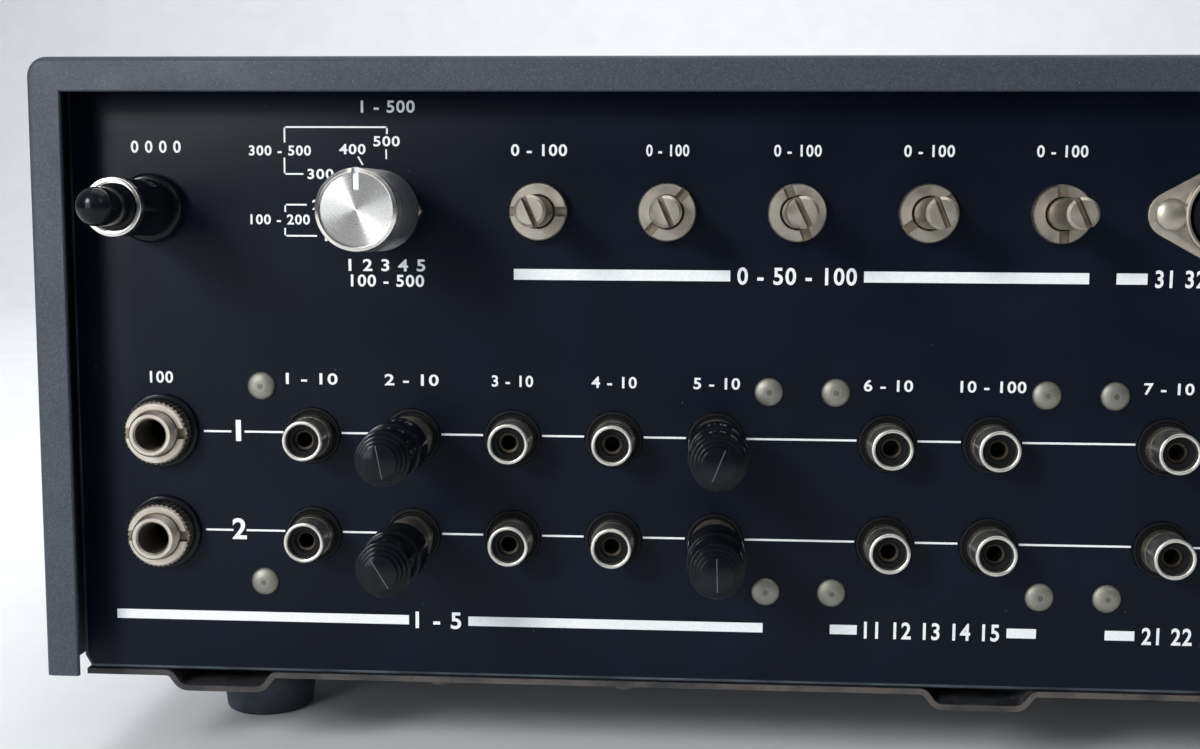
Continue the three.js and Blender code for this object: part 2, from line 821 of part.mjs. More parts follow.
function impedanceSwitchSolid() {
  const body = rod(switchRadius, [rearBack - switchDepth, rearBack]);
  const bush = rod(switchBushRadius, [rearBack - overrun, switchBushReach]);
  const nut = rod(switchNutRadius, [fit, fit + switchNutHeight], 0, 0, tinySides);
  const bore = rod(switchShaftRadius + running, [rearBack - switchDepth / 2, switchBushReach + overrun]);
  return joined([body, bush, nut]).subtract(bore);
}

function impedanceShaftSolid() {
  const seat = rearBack - switchDepth / 2 + running;
  return rod(switchShaftRadius, [seat, switchShaftReach], 0, 0, smallSides);
}

function impedanceKnobSolid() {
  const rimInner = rearKnobFrontRadius - rearKnobRim;
  return turned([
    [0, rearKnobStart + rearKnobBoreDepth],
    [rearKnobBoreRadius, rearKnobStart + rearKnobBoreDepth],
    [rearKnobBoreRadius, rearKnobStart],
    [rearKnobBackRadius, rearKnobStart],
    [rearKnobFrontRadius, rearKnobReach - rearKnobChamfer],
    [rearKnobFrontRadius - rearKnobChamfer / 2, rearKnobReach],
    [rimInner, rearKnobReach],
    [rimInner, rearKnobReach - rearKnobDish],
    [0, rearKnobReach - rearKnobDish],
  ]);
}

// The board of level controls: five potentiometers between it and the panel.
function levelBoardSolid() {
  const lastX = levelColumns[levelCount - 1];
  const boardBack = rearBack - potDepth - boardThickness;
  const pieces = [
    slab(
      [lastX - potBoardMargin, impedanceX - switchRadius - potBoardGap],
      [boardBack, rearBack - potDepth],
      about(controlZ, potBoardHeight),
    ),
  ];
  const bores = [];
  for (const x of levelColumns) {
    pieces.push(rod(potRadius, [rearBack - potDepth - overrun, rearBack], x, controlZ, smallSides));
    pieces.push(rod(potBushRadius, [rearBack - overrun, potBushReach], x, controlZ, smallSides));
    const seat = [potBushReach - levelShaftSeat - running, potBushReach + overrun];
    bores.push(rod(levelBoreRadius, seat, x, controlZ, smallSides));
  }
  return joined(pieces).subtract(joined(bores));
}

function levelShaftSolid() {
  const bar = turned(
    [
      [0, potBushReach - levelShaftSeat],
      [levelShaftRadius, potBushReach - levelShaftSeat],
      [levelShaftRadius, levelShaftReach - levelShaftChamfer],
      [levelShaftRadius - levelShaftChamfer, levelShaftReach],
      [0, levelShaftReach],
    ],
    1,
    smallSides,
  );
  const slot = slab(
    about(0, levelSlotWidth),
    [levelShaftReach - levelSlotDepth, levelShaftReach + overrun],
    about(0, 2 * (levelShaftRadius + overrun)),
  );
  return bar.subtract(slot);
}

function levelNutSolid() {
  const ring = turned([
    [potBushRadius + running, fit],
    [levelNutRadius, fit],
    [levelNutRadius, levelNutHeight],
    [levelBoreRadius, levelNutHeight],
    [levelBoreRadius, levelNutCavity],
    [potBushRadius + running, levelNutCavity],
    [potBushRadius + running, fit],
  ]);
  const slot = slab(
    about(0, levelNutSlotWidth),
    [levelNutHeight - levelNutSlotDepth, levelNutHeight + overrun],
    about(0, 2 * (levelNutRadius + overrun)),
  );
  return ring.subtract(slot);
}

// A quarter inch jack seated against the back of a panel. Its bush passes the panel to the given reach.
function quarterJackSolid(facing, seat, reach) {
  const body = [
    [0, seat - micBodyDepth],
    [micBodyRadius, seat - micBodyDepth],
    [micBodyRadius, seat],
    [micBushRadius, seat],
    [micBushRadius, reach],
    [micBoreRadius, reach],
    [micBoreRadius, reach - micBoreDepth],
    [0, reach - micBoreDepth],
  ];
  return turned(body, facing);
}

function micNutSolid(facing, bore) {
  return turned(
    [
      [bore, fit],
      [micWasherRadius, fit],
      [micWasherRadius, micWasherHeight],
      [micNutRadius, micWasherHeight],
      [micNutRadius, micWasherHeight + micNutHeight],
      [bore, micWasherHeight + micNutHeight],
      [bore, fit],
    ],
    facing,
  );
}

// The flange's outline: a large round in the middle, a small one at each ear and straight tangents.
function dinFlangeOutline() {
  const lean = Math.asin((dinFlangeRadius - dinEarRadius) / dinScrewOffset);
  const quarter = Math.PI / 2;
  return [
    ...arc(0, 0, dinFlangeRadius, quarter - lean, quarter + lean),
    ...arc(-dinScrewOffset, 0, dinEarRadius, quarter + lean, 3 * quarter - lean),
    ...arc(0, 0, dinFlangeRadius, 3 * quarter - lean, 3 * quarter + lean),
    ...arc(dinScrewOffset, 0, dinEarRadius, 3 * quarter + lean, 5 * quarter - lean),
  ];
}

function dinSocketSolid() {
  const shellRadius = dinMouthRadius + dinShellWall;
  const mouth = rod(dinMouthRadius, [0, dinFlange + overrun]);
  const plate = prism(dinFlangeOutline(), [fit, dinFlange]).subtract(mouth);
  const insertEnd = dinFlange - dinInsertRecess;
  const grooveEnd = insertEnd - dinGrooveDepth;
  const shell = turned([
    [0, -dinDepth],
    [shellRadius, -dinDepth],
    [shellRadius, dinShellReach],
    [dinMouthRadius, dinShellReach],
    [dinMouthRadius, grooveEnd],
    [dinInsertRadius, grooveEnd],
    [dinInsertRadius, insertEnd],
    [0, insertEnd],
  ]);
  const pieces = [plate, shell];
  for (const side of [-1, 1]) {
    const x = side * dinScrewOffset;
    const dome = turned(
      [
        [0, dinFlange / 2],
        [dinScrewRadius, dinFlange / 2],
        [dinScrewRadius, dinFlange],
        [dinScrewRadius * Math.cos(Math.PI / 4), dinFlange + dinScrewDome * Math.sin(Math.PI / 4)],
        [0, dinFlange + dinScrewDome],
      ],
      1,
      smallSides,
    );
    pieces.push(dome.translate([x, 0, 0]));
    pieces.push(rod(dinShankRadius, [rearBack - rearSheet, dinFlange], x, 0, tinySides));
  }
  return joined(pieces);
}

function outletStripSolid() {
  const span = (outletCount - 1) * outletPitch;
  const flangeX = about(0, span + 2 * outletFlangeMargin);
  const bodyX = about(0, span + 2 * outletBodyMargin);
  const flange = slab(flangeX, [fit, outletFlange], about(0, outletFlangeHeight));
  const body = slab(bodyX, [-outletDepth, outletFlange], about(0, outletBodyHeight));
  const slots = [];
  for (let i = 0; i < outletCount; i += 1) {
    for (const side of [-1, 1]) {
      const x = i * outletPitch - span / 2 + (side * outletSlotSpacing) / 2;
      const depth = [outletFlange - outletSlotDepth, outletFlange + overrun];
      slots.push(slab(about(x, outletSlotWidth), depth, about(0, outletSlotHeight)));
    }
  }
  return flange.add(body).subtract(joined(slots));
}

function mainsInletSolid() {
  const flange = slab(about(0, inletFlangeWidth), [fit, inletFlange], about(0, inletFlangeHeight));
  const body = slab(about(0, inletBodyWidth), [-inletDepth, inletFlange], about(0, inletBodyHeight));
  const floor = inletFlange - inletRecessDepth;
  const recess = slab(
    about(0, inletBodyWidth - 2 * inletWall),
    [floor, inletFlange + overrun],
    about(0, inletBodyHeight - 2 * inletWall),
  );
  const pinSpan = [floor - overrun, inletFlange - inletPinShort];
  const pins = about(0, inletPinSpacing).map((x) => rod(inletPinRadius, pinSpan, x, 0, smallSides));
  return flange.add(body).subtract(recess).add(joined(pins));
}

place(rear, "rear_panel", rearPanelSolid(), panelPaint);
for (const block of jackBlocks) place(rear, block.name, jackStripSolid(block), phenolic);
[1, inputColumns - 1].forEach((column, i) => {
  const [upperY, lowerY] = capStandOuts[i];
  const x = firstJackX - column * columnPitch;
  place(rear, `shorting_cap_${column}_upper`, capSolid(), blackPlastic, [x, upperY, upperJackZ]);
  place(rear, `shorting_cap_${column}_lower`, capSolid(), blackPlastic, [x, lowerY, lowerJackZ]);
});
place(rear, "ground_post_base", groundBaseSolid(), blackPlastic, [groundX, 0, groundZ]);
place(rear, "ground_clamp_ring", groundRingSolid(), nickel, [groundX, 0, groundZ]);
place(rear, "ground_thumb_knob", groundKnobSolid(), blackPlastic, [groundX, 0, groundZ]);
place(rear, "impedance_switch", impedanceSwitchSolid(), steel, [impedanceX, 0, controlZ]);
place(rear, "impedance_shaft", impedanceShaftSolid(), nickel, [impedanceX, 0, controlZ]);
place(rear, "impedance_knob", impedanceKnobSolid(), aluminium, [impedanceX, 0, controlZ]);
place(rear, "level_control_board", levelBoardSolid(), boardGreen);
levelColumns.forEach((x, i) => {
  const seat = [x, 0, controlZ];
  const shaftTurn = levelShaftTurns[i % levelShaftTurns.length];
  const nutTurn = levelNutTurns[i % levelNutTurns.length];
  place(rear, `level_shaft_${i + 1}`, levelShaftSolid(), nickel, seat, { y: radians(shaftTurn) });
  place(rear, `level_nut_${i + 1}`, levelNutSolid(), nickel, seat, { y: radians(nutTurn) });
});
["left", "right"].forEach((channel, i) => {
  const seat = [sideColumnX, 0, micRows[i]];
  place(rear, `mic_jack_${channel}`, quarterJackSolid(1, rearBack, micBushReach), nickel, seat);
  place(rear, `mic_nut_${channel}`, micNutSolid(1, micBushRadius + running / 2), nickel, seat);
});
place(rear, "din_socket", dinSocketSolid(), nickel, [dinX, 0, controlZ]);
place(rear, "outlet_strip", outletStripSolid(), blackPlastic, [outletX, 0, controlZ]);
place(rear, "mains_inlet", mainsInletSolid(), blackPlastic, [inletX, 0, inletZ]);

// Front panel and what it carries. In this group y is 0 on the panel's front and grows inwards.
const front = new THREE.Group();
front.position.set(0, faceY, 0);
preamp.add(front);

// Half the height that a lever needs at a distance in front of its pivot.
function leverSweep(distance) {
  const swing = radians(leverSwing);
  return distance * Math.tan(swing) + leverThickness / 2 / Math.cos(swing) + running;
}

function leverSlot([y0, y1], x) {
  const half = leverSweep(leverPivotDepth - y0);
  return slab(about(x, leverWidth + 2 * running), [y0, y1], about(lowerRowZ, 2 * half));
}

function faceSolid() {
  const outline = new THREE.Shape([
    new THREE.Vector2(-faceWidth / 2, faceBottomZ),
    new THREE.Vector2(faceWidth / 2, faceBottomZ),
    new THREE.Vector2(faceWidth / 2, faceTopZ),
    new THREE.Vector2(-faceWidth / 2, faceTopZ),
  ]);
  const bevelled = new THREE.ExtrudeGeometry(outline, {
    depth: faceThickness,
    bevelThickness: faceBevel,
    bevelSize: faceBevel,
    bevelOffset: -faceBevel,
    bevelSegments: 1,
  });
  const blank = solidOf(bevelled.rotateX(Math.PI / 2).translate(0, faceThickness + faceBevel, 0));
  const beyond = [faceThickness, faceThickness + 2 * faceBevel + overrun];
  const wide = about(0, faceWidth + 2 * overrun);
  const tail = slab(wide, beyond, [faceBottomZ - overrun, faceTopZ + overrun]);
  const through = [-overrun, faceThickness + overrun];
  const holes = [rod(micHoleRadius, through, phonesX, lowerRowZ)];
  for (const knob of knobs) holes.push(rod(controlHoleRadius, through, knob.x, knob.z, smallSides));
  for (const lever of levers) holes.push(leverSlot(through, lever.x));
  for (const meter of meters) {
    holes.push(slab(about(meter.x, meterWindowWidth), through, about(upperRowZ, meterWindowHeight)));
  }
  return blank.subtract(tail).subtract(joined(holes));
}

function subPanelSolid() {
  const halfWidth = coverWidth / 2 - coverSheet - rearSideGap;
  const reach = [faceThickness + fit, subPanelBackY];
  const high = coverTopZ - coverSheet - rearTopGap;
  const sheet = slab([-halfWidth, halfWidth], reach, [coverBottomZ + fit, high]);
  const through = [faceThickness + fit - overrun, subPanelBackY + overrun];
  const holes = [rod(micHoleRadius, through, phonesX, lowerRowZ)];
  for (const knob of knobs) holes.push(rod(controlHoleRadius, through, knob.x, knob.z, smallSides));
  for (const lever of levers) holes.push(leverSlot(through, lever.x));
  const meterZ = about(upperRowZ, meterHeight + 2 * running);
  for (const meter of meters) {
    holes.push(slab(about(meter.x, meterWidth + 2 * running), through, meterZ));
  }
  return sheet.subtract(joined(holes));
}

function knobSolid(knob) {
  const radius = knob.diameter / 2;
  const reach = knobStandoff + knob.length;
  const seat = -(subPanelBackY + fit + knobShaftSeat - running);
  return turned(
    [
      [0, seat],
      [knobShaftRadius, seat],
      [knobShaftRadius, knobStandoff],
      [radius, knobStandoff],
      [radius, reach - knobChamfer],
      [radius - knobChamfer, reach],
      [radius - 2 * knobChamfer, reach],
      [radius - 2 * knobChamfer, reach - knobDish],
      [0, reach - knobDish],
    ],
    -1,
    roundSides,
  );
}

// The board behind the front controls, with the body of each control and lever switch.
function controlBoardSolid() {
  const bodyFront = subPanelBackY + fit;
  const boardFront = bodyFront + controlDepth;
  const boardBack = boardFront + controlBoardThickness;
  const lowZ = lowerRowZ - controlBoardMargin;
  const midZ = lowerRowZ + controlBoardMargin;
  const highZ = upperRowZ + controlBoardMargin;
  const farX = volumeX * spreadShare + controlBoardMargin;
  const board = [boardFront, boardBack];
  const pieces = [
    slab([powerX * spreadShare - controlBoardMargin / 2, farX], board, [lowZ, midZ]),
    slab([functionX * spreadShare - controlBoardMargin, farX], board, [midZ - overrun, highZ]),
  ];
  const jackHole = [boardFront - overrun, boardBack + overrun];
  const cuts = [rod(micBodyRadius + running, jackHole, phonesX, lowerRowZ)];
  for (const knob of knobs) {
    pieces.push(rod(controlBodyRadius, [bodyFront, boardFront + fit], knob.x, knob.z, smallSides));
    const bore = [bodyFront - overrun, bodyFront + knobShaftSeat];
    cuts.push(rod(controlHoleRadius, bore, knob.x, knob.z, smallSides));
  }
  for (const lever of levers) {
    const bodyBack = leverPivotDepth + leverRootRadius + running + leverBodyWall;
    const depth = [bodyFront, Math.max(bodyBack, boardFront + fit)];
    pieces.push(slab(about(lever.x, leverBodyWidth), depth, about(lowerRowZ, leverBodyHeight)));
    const slot = [bodyFront - overrun, leverPivotDepth + leverRootRadius + running];
    cuts.push(leverSlot(slot, lever.x));
  }
  return joined(pieces).subtract(joined(cuts));
}

// A lever about its pivot: a round root and a flat arm towards the front.
function leverSolid() {
  const root = new THREE.CylinderGeometry(leverRootRadius, leverRootRadius, leverWidth, smallSides);
  const arm = slab(about(0, leverWidth), [-(leverPivotDepth + leverReach), 0], about(0, leverThickness));
  return solidOf(root.rotateZ(Math.PI / 2)).add(arm);
}

const needlePivotZ = upperRowZ - needlePivotDrop;
const needleBack = faceThickness + fit + meterCavity - needleBossHeight - running; // behind the face's front

function meterSolid() {
  const start = faceThickness + fit;
  const body = slab(about(0, meterWidth), [start, start + meterDepth], about(upperRowZ, meterHeight));
  const cavity = slab(
    about(0, meterWindowWidth - 2 * meterLedge),
    [start - overrun, start + meterCavity],
    about(upperRowZ, meterWindowHeight - 2 * meterLedge),
  );
  const bossSpan = [start + meterCavity - needleBossHeight, start + meterCavity + overrun];
  const boss = rod(needleBossRadius, bossSpan, 0, needlePivotZ);
  return body.subtract(cavity).add(boss);
}

function needleSolid() {
  const hub = rod(needleHubRadius, [-needleThickness, 0], 0, 0, smallSides);
  const pointer = slab(about(0, needleWidth), [-needleThickness, 0], [0, needleLength]);
  return hub.add(pointer);
}

// The headphone jack's bush passes the steel panel and the face, and its nut stands on the face.
place(front, "front_panel", faceSolid(), aluminium);
place(front, "front_sub_panel", subPanelSolid(), steel);
place(front, "control_board", controlBoardSolid(), boardGreen);
for (const knob of knobs) place(front, knob.name, knobSolid(knob), aluminium, [knob.x, 0, knob.z]);
for (const lever of levers) {
  const pivot = [lever.x, leverPivotDepth, lowerRowZ];
  place(front, lever.name, leverSolid(), aluminium, pivot, { x: radians(leverSwing) });
}
const headphoneSeat = [phonesX, 0, lowerRowZ];
const headphoneJack = quarterJackSolid(-1, -(subPanelBackY + fit), micBushReach - micWasherHeight);
const headphoneNut = micNutSolid(-1, (micBushRadius + micBoreRadius) / 2);
place(front, "headphone_jack", headphoneJack.add(headphoneNut), nickel, headphoneSeat);
for (const meter of meters) {
  place(front, meter.name, meterSolid(), dialCream, [meter.x, 0, 0]);
  const pivot = [meter.x, needleBack, needlePivotZ];
  place(front, `${meter.name}_needle`, needleSolid(), needleBlack, pivot, { y: -radians(needleSwing) });
}

// Inside the case.
const inside = new THREE.Group();
inside.position.set(0, 0, coverBottomZ + fit);
preamp.add(inside);

// Transformer: laminated core on two feet, with its winding through the window.
function transformerSolid() {
  const core = slab(about(0, transformerCore), about(0, transformerStack), [0, transformerHeight]);
  const middle = transformerHeight / 2;
  const coil = slab(
    about(0, transformerCore - transformerFootSheet),
    about(0, transformerCoil),
    about(middle, transformerCoilHeight),
  );
  const feet = slab(about(0, transformerFootLength), about(0, transformerStack), [0, transformerFootSheet]);
  return joined([core, coil, feet]);
}

// The main board fills the width between the transformer and the other side.
const mainBoardEdges = [
  transformerInset + transformerFootLength / 2 + mainBoardGap - coverWidth / 2,
  coverWidth / 2 - mainBoardSideGap,
];
const mainBoardWidth = mainBoardEdges[1] - mainBoardEdges[0];
const mainBoardX = (mainBoardEdges[0] + mainBoardEdges[1]) / 2;

// Main board on four standoffs, with reservoir capacitors and two screening cans.
function mainBoardSolid() {
  const top = mainBoardLift + mainBoardThickness;
  const pieces = [slab(about(0, mainBoardWidth), about(0, mainBoardDepth), [mainBoardLift, top])];
  for (const sideX of [-1, 1]) {
    for (const sideY of [-1, 1]) {
      const post = upright(
        [
          [0, 0],
          [standoffRadius, 0],
          [standoffRadius, mainBoardLift + mainBoardThickness / 2],
          [0, mainBoardLift + mainBoardThickness / 2],
        ],
        tinySides,
      );
      const x = sideX * (mainBoardWidth / 2 - standoffInset);
      const y = sideY * (mainBoardDepth / 2 - standoffInset);
      pieces.push(post.translate([x, y, 0]));
    }
  }
  for (let i = 0; i < capacitorCount; i += 1) {
    const can = upright(
      [
        [0, mainBoardLift],
        [capacitorRadius, mainBoardLift],
        [capacitorRadius, top + capacitorHeight],
        [0, top + capacitorHeight],
      ],
      smallSides,
    );
    const x = capacitorPitch * (i + 1) - mainBoardWidth / 2;
    pieces.push(can.translate([x, mainBoardDepth / 2 - capacitorPitch, 0]));
  }
  for (let i = 0; i < canCount; i += 1) {
    const x = about(mainBoardWidth / 2 - canEdge - canWidth / 2 - i * canSpacing, canWidth);
    pieces.push(slab(x, about(-canDepth / 2, canDepth), [mainBoardLift, top + canHeight]));
  }
  return joined(pieces);
}

const transformerSeat = [transformerInset - coverWidth / 2, rearY - transformerSetback, 0];
place(inside, "power_transformer", transformerSolid(), coreIron, transformerSeat);
place(inside, "main_board", mainBoardSolid(), boardGreen, [mainBoardX, rearY - mainBoardSetback, 0]);

export default preamp;
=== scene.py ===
import math

import bmesh
import bpy
from mathutils import Matrix, Vector


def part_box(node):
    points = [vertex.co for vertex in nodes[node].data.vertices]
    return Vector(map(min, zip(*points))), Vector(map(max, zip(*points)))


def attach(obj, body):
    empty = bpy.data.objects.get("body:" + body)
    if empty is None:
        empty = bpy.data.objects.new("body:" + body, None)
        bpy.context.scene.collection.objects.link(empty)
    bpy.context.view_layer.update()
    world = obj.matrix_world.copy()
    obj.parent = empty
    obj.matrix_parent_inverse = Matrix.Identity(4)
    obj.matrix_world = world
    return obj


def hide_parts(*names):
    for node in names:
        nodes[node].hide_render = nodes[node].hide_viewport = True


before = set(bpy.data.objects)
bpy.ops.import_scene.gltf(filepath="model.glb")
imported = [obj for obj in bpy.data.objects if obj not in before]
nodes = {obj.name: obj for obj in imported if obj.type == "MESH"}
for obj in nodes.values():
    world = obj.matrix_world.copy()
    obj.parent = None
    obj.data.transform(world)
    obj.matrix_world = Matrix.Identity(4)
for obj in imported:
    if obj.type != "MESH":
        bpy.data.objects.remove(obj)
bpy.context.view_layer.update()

mm = 0.001
mergeWithin = 0.0005 * mm  # made pieces
nodeMerge = 0.002 * mm  # copies of the frame's pieces
print("frame loaded:", len(nodes), "nodes")


def centreOf(node):
    low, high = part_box(node)
    return (low + high) / 2


def seatOn(node, y):
    # where a piece stands on a sheet whose face is at the given Y
    middle = centreOf(node)
    return (middle.x, y, middle.z)


# Places that several pieces share, all read from the frame
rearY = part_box("rear_panel")[1].y  # outer face of the rear panel
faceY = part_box("front_panel")[0].y  # front of the front panel
controlZ = centreOf("impedance_knob").z
upperZ = centreOf("shorting_cap_1_upper").z
lowerZ = centreOf("shorting_cap_1_lower").z
jackPitch = (centreOf("shorting_cap_1_upper").x - centreOf("shorting_cap_4_upper").x) / 3
firstJackX = centreOf("shorting_cap_1_upper").x + jackPitch
levelNames = [f"level_shaft_{i}" for i in range(1, 6)]
levelColumns = [centreOf(name).x for name in levelNames]
blockFirstX = [centreOf(f"{name}_jack_strip").x + jackPitch / 2 for name in ("tape_one", "tape_two", "output")]
jackBlocks = [(firstJackX, 5)] + [(x, 2) for x in blockFirstX]  # first column, how many columns
columnX = [first - i * jackPitch for first, count in jackBlocks for i in range(count)]
jackSeats = [Vector((x, rearY, z)) for x in columnX for z in (upperZ, lowerZ)]
rearFacing = Matrix(((-1, 0, 0), (0, 0, 1), (0, 1, 0))).to_4x4()  # a flat drawing faces backwards
frontFacing = Matrix(((1, 0, 0), (0, 0, -1), (0, 1, 0))).to_4x4()  # a flat drawing faces forwards


# Finishes
def newFinish(name, color, roughness, metallic=0.0, **extra):
    finish = bpy.data.materials.new(name)
    finish.use_nodes = True
    shader = finish.node_tree.nodes["Principled BSDF"]
    shader.inputs["Base Color"].default_value = (*color, 1)
    shader.inputs["Roughness"].default_value = roughness
    shader.inputs["Metallic"].default_value = metallic
    for socket, value in extra.items():
        shader.inputs[socket.replace("_", " ")].default_value = value
    return finish


def addNode(finish, kind, inputs=(), **settings):
    node = finish.node_tree.nodes.new(kind)
    for key, value in settings.items():
        setattr(node, key, value)
    for socket, value in dict(inputs).items():
        node.inputs[socket].default_value = value
    return node


def addLink(finish, source, target):
    finish.node_tree.links.new(source, target)


def shaderOf(finish):
    return finish.node_tree.nodes["Principled BSDF"]


def placeOn(finish, stretch=(1, 1, 1), centre=(0, 0, 0)):
    # object coordinates, measured from a centre and stretched along each axis
    coordinates = addNode(finish, "ShaderNodeTexCoord")
    shift = addNode(finish, "ShaderNodeVectorMath", {1: centre}, operation="SUBTRACT")
    scale = addNode(finish, "ShaderNodeVectorMath", {1: stretch}, operation="MULTIPLY")
    addLink(finish, coordinates.outputs["Object"], shift.inputs[0])
    addLink(finish, shift.outputs[0], scale.inputs[0])
    return scale.outputs[0]


def grain(finish, size, detail=3.0, stretch=(1, 1, 1), roughness=0.5):
    # noise whose features are about the given size in metres
    inputs = {"Scale": 1 / size, "Detail": detail, "Roughness": roughness}
    noise = addNode(finish, "ShaderNodeTexNoise", inputs)
    addLink(finish, placeOn(finish, stretch), noise.inputs["Vector"])
    return noise.outputs["Fac"]


def remap(finish, factor, start, end, low=0.0, high=1.0, **settings):
    # low where the factor is at start, high where it is at end
    inputs = {"From Min": start, "From Max": end, "To Min": low, "To Max": high}
    span = addNode(finish, "ShaderNodeMapRange", inputs, **settings)
    addLink(finish, factor, span.inputs["Value"])
    return span.outputs["Result"]


def specks(finish, size, share, core=0.6):
    # scattered dots: 1 in a dot's core, falling to 0 at its edge
    cells = addNode(finish, "ShaderNodeTexVoronoi", {"Scale": 1 / size})
    addLink(finish, placeOn(finish), cells.inputs["Vector"])
    return remap(finish, cells.outputs["Distance"], share, share * core)


def ringsAbout(finish, centre, axis, spacing):
    # lathe marks: fine rings round an axis through a centre
    flat = [0.0 if i == axis else 1.0 for i in range(3)]
    length = addNode(finish, "ShaderNodeVectorMath", operation="LENGTH")
    inputs = {"Scale": 1 / spacing, "Detail": 4.0}
    noise = addNode(finish, "ShaderNodeTexNoise", inputs, noise_dimensions="1D")
    addLink(finish, placeOn(finish, flat, centre), length.inputs[0])
    addLink(finish, length.outputs["Value"], noise.inputs["W"])
    return noise.outputs["Fac"]


def fillRamp(ramp, start, low, end, high):
    near, far = ramp.color_ramp.elements
    near.position, near.color = start, (*low, 1)
    far.position, far.color = end, (*high, 1)


def tint(finish, factor, low, high, start=0.35, end=0.65):
    ramp = addNode(finish, "ShaderNodeValToRGB")
    fillRamp(ramp, start, low, end, high)
    addLink(finish, factor, ramp.inputs["Fac"])
    addLink(finish, ramp.outputs["Color"], shaderOf(finish).inputs["Base Color"])
    return ramp.outputs["Color"]


def tintOver(finish, under, factor, color):
    # lays a second colour over the first where the factor is 1
    mix = addNode(finish, "ShaderNodeMix", data_type="RGBA")
    mix.inputs[7].default_value = (*color, 1)
    addLink(finish, factor, mix.inputs[0])
    addLink(finish, under, mix.inputs[6])
    addLink(finish, mix.outputs[2], shaderOf(finish).inputs["Base Color"])
    return mix.outputs[2]


def stains(finish, under, size, reach, color, roughness=0.65):
    # patches of another colour, growing as the noise passes from the reach's start to its end
    patches = remap(finish, grain(finish, size, 6, roughness=roughness), *reach)
    return tintOver(finish, under, patches, color)


def polish(finish, factor, low, high, start=0.3, end=0.7):
    roughness = remap(finish, factor, start, end, low, high)
    addLink(finish, roughness, shaderOf(finish).inputs["Roughness"])


def relief(finish, factor, depth, strength=1.0):
    bump = addNode(finish, "ShaderNodeBump", {"Strength": strength, "Distance": depth})
    addLink(finish, factor, bump.inputs["Height"])
    addLink(finish, bump.outputs["Normal"], shaderOf(finish).inputs["Normal"])


def makeCoverEnamel():
    # dark grey crinkle enamel with a fine metallic sparkle
    finish = newFinish("cover_enamel", (0.035, 0.042, 0.055), 0.55, 0.1)
    mottle = grain(finish, 0.45 * mm, 3)
    color = tint(finish, mottle, (0.023, 0.029, 0.04), (0.044, 0.054, 0.07), 0.3, 0.7)
    tintOver(finish, color, specks(finish, 0.75 * mm, 0.12), (0.17, 0.185, 0.21))
    polish(finish, grain(finish, 14 * mm, 2), 0.5, 0.64)
    relief(finish, mottle, 0.045 * mm, 0.7)
    return finish


def makePanelEnamel():
    # smooth near-black enamel, with faint smears and a little dust
    finish = newFinish("panel_enamel", (0.0042, 0.0062, 0.0122), 0.36, 0.0, Specular_IOR_Level=0.1)
    color = tint(finish, grain(finish, 22 * mm, 4), (0.003, 0.0048, 0.0105), (0.0042, 0.0066, 0.0138))
    tintOver(finish, color, specks(finish, 7 * mm, 0.03), (0.06, 0.065, 0.075))
    polish(finish, grain(finish, 30 * mm, 5, (1, 1, 2.5)), 0.32, 0.42)
    relief(finish, grain(finish, 1.6 * mm, 2), 0.012 * mm, 0.5)
    return finish


def makeRubbedEnamel():
    # the same enamel where the sheet bends, lighter: a painted highlight along the bends
    finish = newFinish("bend_highlight_enamel", (0.03, 0.04, 0.05), 0.5, 0.0, Specular_IOR_Level=0.3)
    tint(finish, grain(finish, 9 * mm, 5), (0.018, 0.025, 0.034), (0.06, 0.075, 0.09))
    polish(finish, grain(finish, 3 * mm, 4), 0.42, 0.6)
    return finish


def makePrintInk():
    finish = newFinish("print_ink", (0.83, 0.85, 0.85), 0.5)
    tint(finish, grain(finish, 0.6 * mm, 3), (0.74, 0.77, 0.77), (0.81, 0.84, 0.84), 0.25, 0.6)
    return finish


def makeNickel(name, color, dull, roughLow, roughHigh):
    # plated metal with clouded patches and fine pits
    finish = newFinish(name, color, roughLow, 1.0)
    tone = tint(finish, grain(finish, 4 * mm, 3), dull, color, 0.3, 0.65)
    tintOver(finish, tone, specks(finish, 1.6 * mm, 0.06), [0.6 * value for value in dull])
    polish(finish, grain(finish, 2.5 * mm, 3), roughLow, roughHigh)
    relief(finish, grain(finish, 0.3 * mm, 2), 0.006 * mm, 0.3)
    return finish


def makeBlackMoulding(name, color, roughness, gloss):
    finish = newFinish(name, color, roughness, 0.0, Specular_IOR_Level=gloss)
    tint(finish, grain(finish, 6 * mm, 3), color, [value * 1.6 + 0.001 for value in color])
    polish(finish, grain(finish, 4 * mm, 4), roughness, roughness + 0.1)
    relief(finish, grain(finish, 2.5 * mm, 2), 0.02 * mm, 0.25)
    return finish


def makeSpunAluminium(name, centre, axis, spacing=0.12 * mm):
    # turned face: rings about the axis, with the highlights drawn out across them
    finish = newFinish(name, (0.76, 0.73, 0.7), 0.25, 1.0, Anisotropic=0.94, Anisotropic_Rotation=0.25)
    rings = ringsAbout(finish, centre, axis, spacing)
    tint(finish, rings, (0.72, 0.69, 0.66), (0.79, 0.76, 0.73), 0.3, 0.7)
    polish(finish, rings, 0.25, 0.3)
    tangent = addNode(finish, "ShaderNodeTangent", direction_type="RADIAL", axis="XYZ"[axis])
    addLink(finish, tangent.outputs["Tangent"], shaderOf(finish).inputs["Tangent"])
    relief(finish, rings, 0.004 * mm, 0.2)
    return finish


def makeSatinAluminium():
    finish = newFinish("satin_aluminium", (0.8, 0.8, 0.79), 0.34, 1.0)
    lines = grain(finish, 0.2 * mm, 3, (0.05, 1, 0.05))
    tint(finish, lines, (0.68, 0.68, 0.67), (0.86, 0.86, 0.85))
    polish(finish, lines, 0.26, 0.42)
    relief(finish, lines, 0.008 * mm, 0.4)
    return finish


